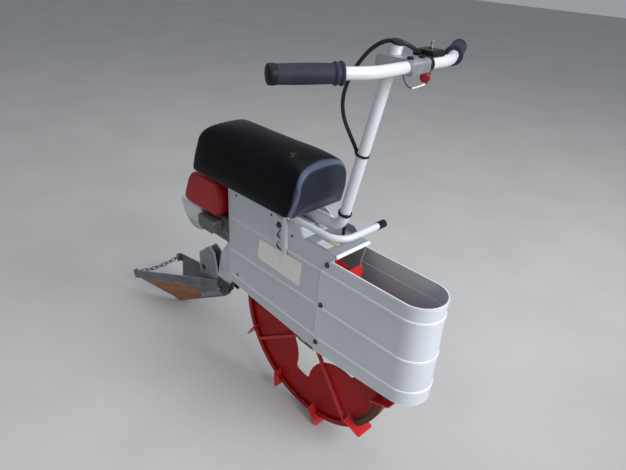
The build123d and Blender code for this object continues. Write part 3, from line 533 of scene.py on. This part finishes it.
def to_mesh(name, bm):
    bmesh.ops.recalc_face_normals(bm, faces=bm.faces)
    mesh = bpy.data.meshes.new(name)
    bm.to_mesh(mesh)
    bm.free()
    return mesh


def frame_at(origin, axis, across=None):
    """A matrix at the origin given whose Z is the axis."""
    z = Vector(axis).normalized()
    x = Vector(across) if across else z.orthogonal()
    x = (x - z * x.dot(z)).normalized()
    matrix = Matrix((x, z.cross(x), z)).transposed().to_4x4()
    matrix.translation = origin
    return matrix


def lathe(bm, profile, matrix, count):
    """A turned form about Z from (along, radius) pairs; a radius of zero closes an end."""
    angles = [2 * math.pi * n / count for n in range(count)]
    rings = []
    for along, radius in profile:
        points = [(0, 0, along)]
        if radius:
            points = [(radius * math.cos(angle), radius * math.sin(angle), along) for angle in angles]
        rings.append([bm.verts.new(matrix @ Vector(point)) for point in points])
    for first, second in zip(rings, rings[1:]):
        for n in range(count):
            corners = [first[n % len(first)], first[(n + 1) % len(first)],
                       second[(n + 1) % len(second)], second[n % len(second)]]
            unique = list(dict.fromkeys(corners))
            if len(unique) > 2:
                bm.faces.new(unique)


def scaled(size, profile):
    """A profile given in shares of a size in millimetres."""
    return [(along * (size * MM), radius * (size * MM)) for along, radius in profile]


def hex_bolt(bm, at, axis, size):
    """A hexagon head with its bolt's rounded end, on a washer; size is half its width over the corners."""
    matrix = frame_at(at, axis)
    lathe(bm, scaled(size, [(0, 0), (0, 1.45), (0.22, 1.42), (0.26, 1.30), (0.26, 0)]), matrix, 28)
    lathe(bm, scaled(size, [(0, 0), (0, 1), (0.78, 1), (0.92, 0.86), (0.96, 0)]), matrix, 6)
    lathe(bm, scaled(size, [(0.9, 0.5), (1.25, 0.48), (1.32, 0.38), (1.32, 0)]), matrix, 16)


def pan_screw(bm, at, axis, size):
    """A round domed head with a hollow in its middle; size is its radius."""
    profile = [(0, 0), (0, 1), (0.3, 0.95), (0.52, 0.75), (0.62, 0.42), (0.42, 0.2), (0.40, 0)]
    lathe(bm, scaled(size, profile), frame_at(at, axis), 20)


def socket_bolt(bm, at, axis, size):
    """A round head with a hexagon socket; size is its radius."""
    matrix = frame_at(at, axis)
    lathe(bm, scaled(size, [(0, 0), (0, 1), (0.62, 1), (0.76, 0.88), (0.78, 0.56)]), matrix, 24)
    lathe(bm, scaled(size, [(0.78, 0.58), (0.30, 0.52), (0.30, 0)]), matrix, 6)


def plate(name, corners, thickness, body, material, radius):
    """A thin sheet from its corners, in millimetres and in order, with rounded corners."""
    points = [place(*corner) for corner in corners]
    reach = radius * MM
    normal = (points[1] - points[0]).cross(points[2] - points[0]).normalized()
    outline = []
    for n, corner in enumerate(points):
        a = corner + (points[n - 1] - corner).normalized() * reach
        b = corner + (points[(n + 1) % len(points)] - corner).normalized() * reach
        for step in range(5):
            t = step / 4
            outline.append((1 - t) ** 2 * a + 2 * t * (1 - t) * corner + t ** 2 * b)
    rise = normal * (thickness * MM)
    bm = bmesh.new()
    low = [bm.verts.new(point) for point in outline]
    high = [bm.verts.new(point + rise) for point in outline]
    bm.faces.new(list(reversed(low)))
    bm.faces.new(high)
    for n in range(len(outline)):
        bm.faces.new([low[n], low[(n + 1) % len(low)], high[(n + 1) % len(high)], high[n]])
    return piece(name, to_mesh(name, bm), body, material, smooth=False)


def tube(name, route, radius, body, material):
    """A round piece along a smooth line through the given points, in millimetres."""
    points = [place(*point) for point in route]
    curve = bpy.data.curves.new(name, "CURVE")
    curve.dimensions = "3D"
    curve.bevel_depth = radius * MM
    curve.bevel_resolution = 6
    curve.use_fill_caps = True
    spline = curve.splines.new("NURBS")
    spline.points.add(len(points) - 1)
    for point, co in zip(spline.points, points):
        point.co = (*co, 1.0)
    spline.order_u = 3
    spline.use_endpoint_u = True
    spline.resolution_u = 10
    obj = bpy.data.objects.new(name, curve)
    bpy.context.scene.collection.objects.link(obj)
    curve.materials.append(material)
    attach(obj, body)
    return obj


def two_tone(bm, first, second, matrix):
    """Two turned forms in one mesh, the second with the second material."""
    lathe(bm, first, matrix, 48)
    count = len(bm.faces)
    lathe(bm, second, matrix, 48)
    bm.faces.ensure_lookup_table()
    for face in bm.faces[count:]:
        face.material_index = 1


def rounded(obj, width, segments):
    """A bevel on the object's edges, of a width in millimetres."""
    bevel = obj.modifiers.new("Rounded", "BEVEL")
    bevel.width = width * MM
    bevel.segments = segments
    bevel.limit_method = "ANGLE"
    return bevel


# Seat: a moulded cushion, crowned across, leaning out in front and in behind. Its heights count from its
# underside, and its falls are shares of the height.

SEAT_TOP = 0.131
SEAT_SHOULDER = 0.116
SEAT_CENTRE = 0.056
SEAT_HALF_WIDTH = 0.0935
SIDE_TOP = 0.068
LIP_DROP = 0.0042
LEVEL_HALF_LENGTH = 0.110
FRONT_FALL = 0.075
REAR_FALL = 0.045


def seat_section():
    """The right half of the cross-section, from the bottom's middle over the side to the top's middle."""
    points = [(0.0, 0.0), (0.030, 0.0), (0.060, 0.0), (0.0885, 0.0), (0.0900, 0.0), (0.0925, 0.0010),
              (0.0934, 0.0065)]
    for step in range(1, 6):
        z = 0.0065 + (SIDE_TOP - 0.0065) * step / 5
        points.append((0.0934 - 0.0082 * z / SIDE_TOP, z))
    for angle in (15, 30, 45, 60, 74):
        turn = math.radians(angle)
        points.append((0.0852 - 0.034 * (1 - math.cos(turn)), 0.069 + 0.053 * math.sin(turn)))
    for y in (0.050, 0.038, 0.025, 0.012, 0.0):
        points.append((y, SEAT_TOP - 0.0085 * (y / 0.060) ** 2))
    return points


CLOTH_FRAMES = 20


def swell(mesh, held_below, held_ends, most):
    """Fills out the top and sides by a cloth simulation under light pressure.

    The points below a height and the given number of points at each end are held, and no point moves
    further than most.
    """
    scene = bpy.context.scene
    skin = bpy.data.objects.new("seat_skin", mesh)
    scene.collection.objects.link(skin)
    free = range(held_ends, len(mesh.vertices) - held_ends)
    held = [vert.index for vert in mesh.vertices if vert.co.z < held_below or vert.index not in free]
    skin.vertex_groups.new(name="held").add(held, 1.0, "REPLACE")
    cloth = skin.modifiers.new("Cloth", "CLOTH")
    cloth.settings.vertex_group_mass = "held"
    cloth.settings.use_pressure = True
    cloth.settings.uniform_pressure_force = 4.0
    cloth.settings.effector_weights.gravity = 0.0
    cloth.point_cache.frame_end = CLOTH_FRAMES
    for number in range(1, CLOTH_FRAMES + 1):
        scene.frame_set(number)
    filled = skin.evaluated_get(bpy.context.evaluated_depsgraph_get()).data
    moves = [after.co - before.co for before, after in zip(mesh.vertices, filled.vertices)]
    for vert, move in zip(mesh.vertices, moves):
        vert.co += move * min(1.0, most / max(move.length, 1e-9))
    skin.modifiers.remove(cloth)
    scene.frame_set(1)
    bpy.data.objects.remove(skin)


def make_seat():
    low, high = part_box("seat_pad")
    bottom_front = high.x - 0.016

    def front_at(z):
        """The front face: out with the height, then a short turn back under the top."""
        turn = max(0.0, (z - SEAT_SHOULDER) / (SEAT_TOP - SEAT_SHOULDER))
        bow = 0.009 * math.sin(math.pi * min(z, SEAT_SHOULDER) / SEAT_SHOULDER)
        return bottom_front + 0.0165 * min(z, SEAT_SHOULDER) / SEAT_SHOULDER + bow - 0.004 * turn ** 2

    def rear_at(z):
        """The rear face: leaning in with the height, then round into the top."""
        turn = min(1.0, max(0.0, (z - 0.070) / (SEAT_TOP - 0.070)))
        lean = 0.014 * (min(z, 0.080) / 0.080) ** 2.2
        return low.x - 0.0075 + lean + 0.048 * (1 - math.sqrt(1 - turn ** 2 * 0.98))

    half = seat_section()
    loop = half + [(-y, z) for y, z in reversed(half[1:-1])]

    def inset_point(y, z, inset):
        """The section's point drawn in by an inset, the flat bottom kept down."""
        out_y, out_z = y / SEAT_HALF_WIDTH, max(0.0, z - SEAT_CENTRE) / (SEAT_TOP - SEAT_CENTRE)
        reach = math.hypot(out_y, out_z) or 1.0
        return y - inset * out_y / reach * min(1.0, abs(y) / 0.03), z - inset * out_z / reach

    def ring(kind, depth, inset, bulge=0.0, shrink=1.0):
        """A ring of points a depth in from the front or rear face."""
        made = []
        for y, z in loop:
            y, z = inset_point(y, z, inset)
            y, z = y * shrink, SEAT_CENTRE + (z - SEAT_CENTRE) * shrink
            x = front_at(z) - depth + bulge if kind == "front" else rear_at(z) + depth - bulge
            made.append(bm.verts.new((x, y, low.z + z)))
        return made

    bm = bmesh.new()
    caps = ((0.35, 0.0035), (0.62, 0.0025), (0.84, 0.0010))
    rear_turn = ((0.0, 0.013), (0.0016, 0.0075), (0.0052, 0.0034), (0.0110, 0.0009), (0.019, 0.0))
    front_turn = ((0.020, 0.0), (0.0125, 0.0009), (0.0062, 0.0034), (0.0019, 0.0078), (0.0, 0.0135))
    rings = [ring("rear", 0.0, 0.013, bulge, shrink) for shrink, bulge in caps]
    rings += [ring("rear", depth, inset) for depth, inset in rear_turn]
    sides = [[(rear_at(z) + 0.019, y, z), (front_at(z) - 0.020, y, z)] for y, z in loop]
    for step in range(1, 14):
        share = step / 14
        rings.append([bm.verts.new((a[0] + (b[0] - a[0]) * share, a[1], low.z + a[2])) for a, b in sides])
    rings += [ring("front", depth, inset) for depth, inset in front_turn]
    rings += [ring("front", 0.0, 0.0135, bulge, shrink) for shrink, bulge in reversed(caps)]
    for first, second in zip(rings, rings[1:]):
        for n in range(len(loop)):
            m = (n + 1) % len(loop)
            bm.faces.new([first[n], first[m], second[m], second[n]])
    bm.faces.new(list(reversed(rings[0])))
    bm.faces.new(rings[-1])

    # The top falls towards both ends, more in front
    middle = (low.x + high.x) / 2
    for vert in bm.verts:
        past = max(0.0, abs(vert.co.x - middle) - LEVEL_HALF_LENGTH) / 0.094
        fall = FRONT_FALL if vert.co.x > middle else REAR_FALL
        vert.co.z -= (vert.co.z - low.z) * fall * past ** 2

    # The lip hangs over the edge of the base plate
    base_low, base_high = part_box("seat_base")
    for vert in bm.verts:
        beside = max(abs(vert.co.y) - base_high.y, base_low.x - vert.co.x, vert.co.x - base_high.x)
        if vert.co.z < low.z + 0.001 and beside > 0.0003:
            vert.co.z = low.z - LIP_DROP
    mesh = to_mesh("seat_cushion", bm)
    end_rings = len(caps) + 2
    swell(mesh, low.z + 0.004, end_rings * len(loop), 4 * MM)
    seat = piece("seat_cushion", mesh, "root", MATERIAL["vinyl"])
    smooth = seat.modifiers.new("Smooth", "SUBSURF")
    smooth.levels = 1
    smooth.render_levels = 1
    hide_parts("seat_pad")


# Grips: smooth sleeves with a slight swell, a black end cap and a double flange

BAR_HEIGHT = 997.14
BAR_END = place(104, 274, BAR_HEIGHT)
BAR_BEND = place(186, 115, BAR_HEIGHT)


def make_grip(side):
    end = Vector((BAR_END.x, side * BAR_END.y, BAR_END.z))
    bend = Vector((BAR_BEND.x, side * BAR_BEND.y, BAR_BEND.z))
    inward = (bend - end).normalized()
    cap = [(-0.0050, 0), (-0.0050, 0.0090), (-0.0046, 0.0130), (-0.0034, 0.0158), (-0.0012, 0.0171),
           (0.0030, 0.01745), (0.0085, 0.01740), (0.0105, 0.0170), (0.0110, 0.0163)]
    sleeve = [(0.0110, 0.0163), (0.0122, 0.0164), (0.020, 0.0166), (0.035, 0.0170), (0.055, 0.01725),
              (0.072, 0.0172), (0.090, 0.01690), (0.1030, 0.01675), (0.1062, 0.0168), (0.1074, 0.0178),
              (0.1086, 0.0191), (0.1102, 0.0197), (0.1120, 0.0196), (0.1132, 0.0188), (0.1140, 0.0178),
              (0.1158, 0.0176), (0.1176, 0.0180), (0.1186, 0.0192), (0.1202, 0.0202), (0.1222, 0.0203),
              (0.1235, 0.0195), (0.1239, 0.0180), (0.1239, 0.0114)]
    bm = bmesh.new()
    two_tone(bm, cap, sleeve, frame_at(end, inward))
    word = "right" if side < 0 else "left"
    name = f"grip_sleeve_{word}"
    grip = piece(name, to_mesh(name, bm), "root", MATERIAL["grip_cap"])
    grip.data.materials.append(MATERIAL["grip"])
    grip.modifiers.new("Edges", "EDGE_SPLIT").split_angle = math.radians(50)
    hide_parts(f"grip_{word}")


# Throttle cable: the route of its tube, as one smooth line

CABLE_ROUTE = [
    (160.0, 48, 1012.04), (159.0, 25, 1023.04), (150.0, 2, 1034.04), (126.1, -12, 1035.04),
    (98.0, -18, 1018.04), (72.0, -21, 988.04), (50.0, -23, 952.04), (37.0, -23, 912.04),
    (38.1, -18, 872.04), (52.0, -8, 836.04), (69.0, 2, 800.04), (66.5, 12, 765.04), (59.0, 13, 725.04),
    (49.0, 14.5, 685.04), (37.1, 19, 645.04), (33.1, 25, 607.04), (30.0, 26, 567.64),
]


def make_cable():
    cable = tube("throttle_cable_sheath", CABLE_ROUTE, 4.1, "root", MATERIAL["cable"])
    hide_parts("throttle_cable")


COLUMN_FOOT = 649.0
COLUMN_HEAD = 1016.0


def column_point(z):
    """A point of the column's axis at a height in millimetres."""
    share = (z - COLUMN_FOOT) / (COLUMN_HEAD - COLUMN_FOOT)
    return place(52 + share * 86, 0, z)


COLUMN_AXIS = (column_point(COLUMN_HEAD) - column_point(COLUMN_FOOT)).normalized()


def make_tie():
    """The band round the column, stretched to the rear to take in the cable."""
    matrix = frame_at(column_point(799), COLUMN_AXIS, (-1, 0, 0))
    inner, width, thick, reach = 12.9 * MM, 5 * MM, 1.6 * MM, 7.4 * MM
    count = 48
    bm = bmesh.new()
    rings = []
    for along, extra in ((-width / 2, 0), (-width / 2, thick), (width / 2, thick), (width / 2, 0)):
        ring = []
        for n in range(count):
            angle = 2 * math.pi * n / count
            radius = inner + extra
            radius += reach * max(0.0, math.cos(angle)) ** 5
            point = Vector((radius * math.cos(angle), radius * math.sin(angle), along))
            ring.append(bm.verts.new(matrix @ point))
        rings.append(ring)
    for first, second in zip(rings, rings[1:] + rings[:1]):
        for n in range(count):
            m = (n + 1) % count
            bm.faces.new([first[n], first[m], second[m], second[n]])
    piece("cable_tie", to_mesh("cable_tie", bm), "root", MATERIAL["rubber"], smooth=False)


# Bolts and screws, and the two notches of the lever's guide

def make_fasteners():
    for side in (-1, 1):
        bm = bmesh.new()
        out = (0, side, 0)
        for x, z in ((62, 536.5), (51, 418.5), (42, 300.5)):
            hex_bolt(bm, place(x, side * 57.6, z), out, 5.0)
        for x, z in ((-281, 587.5), (-138, 586.5), (-281, 340), (-60, 560)):
            pan_screw(bm, place(x, side * 56, z), out, 3.6)
        name = "body_bolts_right" if side < 0 else "body_bolts_left"
        piece(name, to_mesh(name, bm), "root", MATERIAL["dark_steel"], smooth=False)
    bm = bmesh.new()
    hex_bolt(bm, place(-104, -60, 573.5), (0, -1, 0), 6.0)
    piece("guide_bolt", to_mesh("guide_bolt", bm), "root", MATERIAL["dark_steel"],
          smooth=False)
    notches = (("guide_notch_upper", ((-98, 563), (-103, 555), (-110, 546), (-108, 540), (-98, 538.5))),
               ("guide_notch_lower", ((-110, 521), (-110, 513), (-104, 508.5), (-96, 507.5))))
    for name, line in notches:
        tube(name, [(x, -60.2, z) for x, z in line], 1.5, "root", MATERIAL["plastic"])
    bm = bmesh.new()
    for x, y in ((187, -18), (187, 17)):
        socket_bolt(bm, place(x, y, 1010.6), (0, 0, 1), 6.2)
    piece("clamp_bolts", to_mesh("clamp_bolts", bm), "root", MATERIAL["plastic"],
          smooth=False)


def make_column_ends():
    """The thin ring with its clip at the column's foot, and the capped tube above the clamp."""
    foot = column_point(648.6)
    bm = bmesh.new()
    band = [(-0.0034, 0.0138), (-0.0034, 0.0152), (-0.0026, 0.0160), (0.0026, 0.0160), (0.0034, 0.0152),
            (0.0034, 0.0138)]
    lathe(bm, band, frame_at(foot, COLUMN_AXIS, (-1, 0, 0)), 48)
    lathe(bm, [(0, 0), (0, 0.0042), (0.0050, 0.0040), (0.0056, 0.0030), (0.0056, 0)],
          frame_at(foot + Vector((0.0125, -0.0085, -0.001)), (0.8, -0.6, 0)), 6)
    ring = piece("column_ring", to_mesh("column_ring", bm), "root", MATERIAL["rubber"],
                 smooth=False)
    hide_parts("column_band")
    bm = bmesh.new()
    shaft = [(-0.002, 0.0125), (0.0155, 0.0125)]
    plug = [(0.0150, 0.0128), (0.0150, 0.0137), (0.0190, 0.0137), (0.0204, 0.0128), (0.0209, 0.0100),
            (0.0209, 0)]
    two_tone(bm, shaft, plug, frame_at(column_point(1015.6), COLUMN_AXIS, (-1, 0, 0)))
    cap = piece("column_top", to_mesh("column_top", bm), "root", MATERIAL["enamel"])
    cap.data.materials.append(MATERIAL["rubber"])
    cap.modifiers.new("Edges", "EDGE_SPLIT").split_angle = math.radians(50)
    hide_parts("column_cap")


def make_switch():
    """The stop switch: a clip round the bar with a rounded body hanging from it."""
    bm = bmesh.new()
    centre = place(185.97, 36, BAR_HEIGHT)
    lathe(bm, [(-0.0075, 0.0112), (-0.0075, 0.0136), (-0.0066, 0.0146), (0.0066, 0.0146), (0.0075, 0.0136),
               (0.0075, 0.0112)], frame_at(centre, (0, 1, 0)), 40)
    body = frame_at(place(187, 36, 968.5), (0, 0, 1))
    lathe(bm, [(0, 0), (0, 0.0072), (0.0015, 0.0090), (0.004, 0.0096), (0.013, 0.0096), (0.017, 0.0088),
               (0.018, 0)], body, 8)
    switch = piece("switch_body", to_mesh("switch_body", bm), "root", MATERIAL["plastic"],
                   smooth=False)
    rounded(switch, 0.7, 2)
    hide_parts("kill_switch")


def moulded(name, node, outline, edge, material):
    """A rounded block drawn as a side outline and kept inside its node's box."""
    low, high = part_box(node)
    margin = 0.3 * MM
    points = []
    for x, z in outline:
        point = place(x, 0, z)
        points.append((min(max(point.x, low.x + margin), high.x - margin),
                       min(max(point.z, low.z + margin), high.z - margin)))
    bm = bmesh.new()
    rings = [[bm.verts.new((x, y, z)) for x, z in points] for y in (low.y + 0.5 * MM, high.y - 0.5 * MM)]
    count = len(outline)
    bm.faces.new(rings[0])
    bm.faces.new(list(reversed(rings[1])))
    for n in range(count):
        m = (n + 1) % count
        bm.faces.new([rings[0][m], rings[0][n], rings[1][n], rings[1][m]])
    block = piece(name, to_mesh(name, bm), "root", material)
    bevel = rounded(block, edge, 4)
    bevel.angle_limit = math.radians(12)
    bevel.harden_normals = True
    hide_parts(node)


def make_engine_shells():
    """The tank swept up at the rear, the engine's shroud and the muffler's pressed can."""
    tank = [(-539, 499), (-534, 474), (-516, 442), (-486, 420), (-462, 417), (-431, 424), (-431, 499)]
    shroud = [(-508, 514), (-500, 536), (-481, 579), (-465, 598), (-444, 605.5), (-350, 605.5), (-335, 594),
              (-326.5, 560), (-330, 520), (-352, 501), (-470, 501), (-496, 503)]
    can = [(-419, 492), (-419, 466), (-408, 452), (-352, 452), (-341, 464), (-341, 492)]
    moulded("tank_shell", "fuel_tank", tank, 7.0, MATERIAL["tank"])
    moulded("engine_shroud", "engine_cover", shroud, 8.0, MATERIAL["engine_red"])
    moulded("muffler_can", "muffler", can, 5.0, MATERIAL["engine_metal"])


def make_labels():
    """The blank plate on the right side and two blank stickers on the deck."""
    y = -56.05
    corners = ((-185, y, 498.5), (-190, y, 439.5), (-29, y, 431.5), (-22, y, 500.5))
    plate("side_plate_blank", corners, 0.5, "root", MATERIAL["cream"], 5)
    z = 572.1
    corners = ((14, -50, z), (52, -50, z), (52, -27, z), (14, -27, z))
    plate("deck_plate_blank", corners, 0.4, "root", MATERIAL["label"], 2)
    corners = ((30, -24, z), (56, -24, z), (56, -8, z), (30, -8, z))
    plate("deck_plate_blank_small", corners, 0.4, "root", MATERIAL["yellow"], 2)


def make_controls():
    """The stop switch's button, its wire with a sleeve, and the throttle's little adjuster."""
    bm = bmesh.new()
    lathe(bm, [(-0.004, 0.0072), (0.001, 0.0072), (0.001, 0.0090), (0.0040, 0.0096), (0.0090, 0.0096),
               (0.0114, 0.0085), (0.0122, 0.0054), (0.0122, 0)],
          frame_at(place(192, 28, 978), (0.5, -0.62, -0.2)), 32)
    piece("stop_button", to_mesh("stop_button", bm), "root", MATERIAL["red_button"])
    wire = ((187, 40, 970), (188, 46, 966), (188, 42, 961), (186, 28, 959), (182, 8, 955), (179, -2, 958),
            (173, -8, 968), (166, -8, 984))
    tube("switch_wire", wire, 1.0, "root", MATERIAL["rubber"])
    sleeve = ((187.6, 37, 960.6), (186, 28, 959), (183.6, 16, 956.6), (181.6, 6, 955.4))
    tube("switch_wire_sleeve", sleeve, 2.0, "root", MATERIAL["sleeve"])
    bm = bmesh.new()
    lathe(bm, [(0, 0), (0, 0.0042), (0.0035, 0.0042), (0.0045, 0.003), (0.012, 0.0028), (0.0135, 0.0018),
               (0.0135, 0)], frame_at(place(160, 84, 1019), (0, 0, 1)), 24)
    piece("throttle_adjuster", to_mesh("throttle_adjuster", bm), "root", MATERIAL["zinc"],
          smooth=False)


make_seat()
for side in (-1, 1):
    make_grip(side)
make_cable()
make_tie()
make_fasteners()
make_column_ends()
make_switch()
make_engine_shells()
make_labels()
make_controls()


# Floor, light and camera

UNDER_KEY_LIGHT = (3.0, 0.3, 0.0)


def make_stage():
    """A plain matt floor, darker in tone under the key light so that it doesn't glare from behind."""
    bm = bmesh.new()
    size = 14.0
    corners = [bm.verts.new((x * size, y * size, 0)) for x, y in ((-1, -1), (1, -1), (1, 1), (-1, 1))]
    bm.faces.new(corners)
    floor = bpy.data.objects.new("floor", to_mesh("floor", bm))
    bpy.context.scene.collection.objects.link(floor)
    g = Graph("floor_paint", roughness=0.75)
    tone = g.mix(g.ramp(g.noise(2.2, 5), 0.3, 0.7), (0.50, 0.495, 0.49), (0.46, 0.455, 0.45))
    tone = g.mix(g.ramp(g.distance(UNDER_KEY_LIGHT), 2.7, 0.8), tone, (0.135, 0.134, 0.132))
    g.link(tone, "Base Color")
    floor.data.materials.append(g.material)


def area_light(name, location, target, size, power, colour=(1, 1, 1)):
    light = bpy.data.lights.new(name, "AREA")
    light.shape = "RECTANGLE"
    light.size, light.size_y = size
    light.energy = power
    light.color = colour
    obj = bpy.data.objects.new(name, light)
    obj.location = location
    obj.rotation_mode = "QUATERNION"
    obj.rotation_quaternion = (Vector(target) - Vector(location)).to_track_quat("-Z", "Y")
    bpy.context.scene.collection.objects.link(obj)


def make_light():
    world = bpy.data.worlds.new("studio")
    bpy.context.scene.world = world
    world.use_nodes = True
    background = world.node_tree.nodes["Background"]
    background.inputs["Color"].default_value = (0.88, 0.93, 1.0, 1)
    background.inputs["Strength"].default_value = 0.36
    area_light("key", (3.6, 0.3, 2.4), (0.1, 0, 0.45), (2.6, 2.2), 190, (0.97, 0.985, 1.0))
    area_light("fill", (0.4, -3.4, 2.2), (0, 0, 0.5), (3.0, 2.0), 8, (0.95, 0.97, 1.0))
    area_light("top", (-0.2, 0.3, 4.0), (0, 0, 0.4), (3.0, 3.0), 44)


SENSOR_WIDTH = 36.0
PICTURE_WIDTH = 626.0
FOCAL_PIXELS = 538.27


def make_camera():
    """The photograph's viewpoint, solved from the object's straight edges."""
    yaw, pitch, roll = (math.radians(a) for a in (134.32, 28.48, 3.44))
    ahead = Vector((math.cos(pitch) * math.cos(yaw), math.cos(pitch) * math.sin(yaw), -math.sin(pitch)))
    level = ahead.cross(Vector((0, 0, 1))).normalized()
    up = level.cross(ahead)
    right = level * math.cos(roll) + up * math.sin(roll)
    top = up * math.cos(roll) - level * math.sin(roll)
    camera = bpy.data.cameras.new("camera")
    camera.sensor_width = SENSOR_WIDTH
    camera.lens = FOCAL_PIXELS * SENSOR_WIDTH / PICTURE_WIDTH
    camera.clip_start = 0.05
    camera.clip_end = 60.0
    obj = bpy.data.objects.new("camera", camera)
    turn = Matrix((right, top, -ahead)).transposed().to_4x4()
    turn.translation = place(770.3, -835.0, 1183.6)
    obj.matrix_world = turn
    bpy.context.scene.collection.objects.link(obj)
    bpy.context.scene.camera = obj


make_stage()
make_light()
make_camera()
bpy.context.scene.view_settings.view_transform = "Standard"
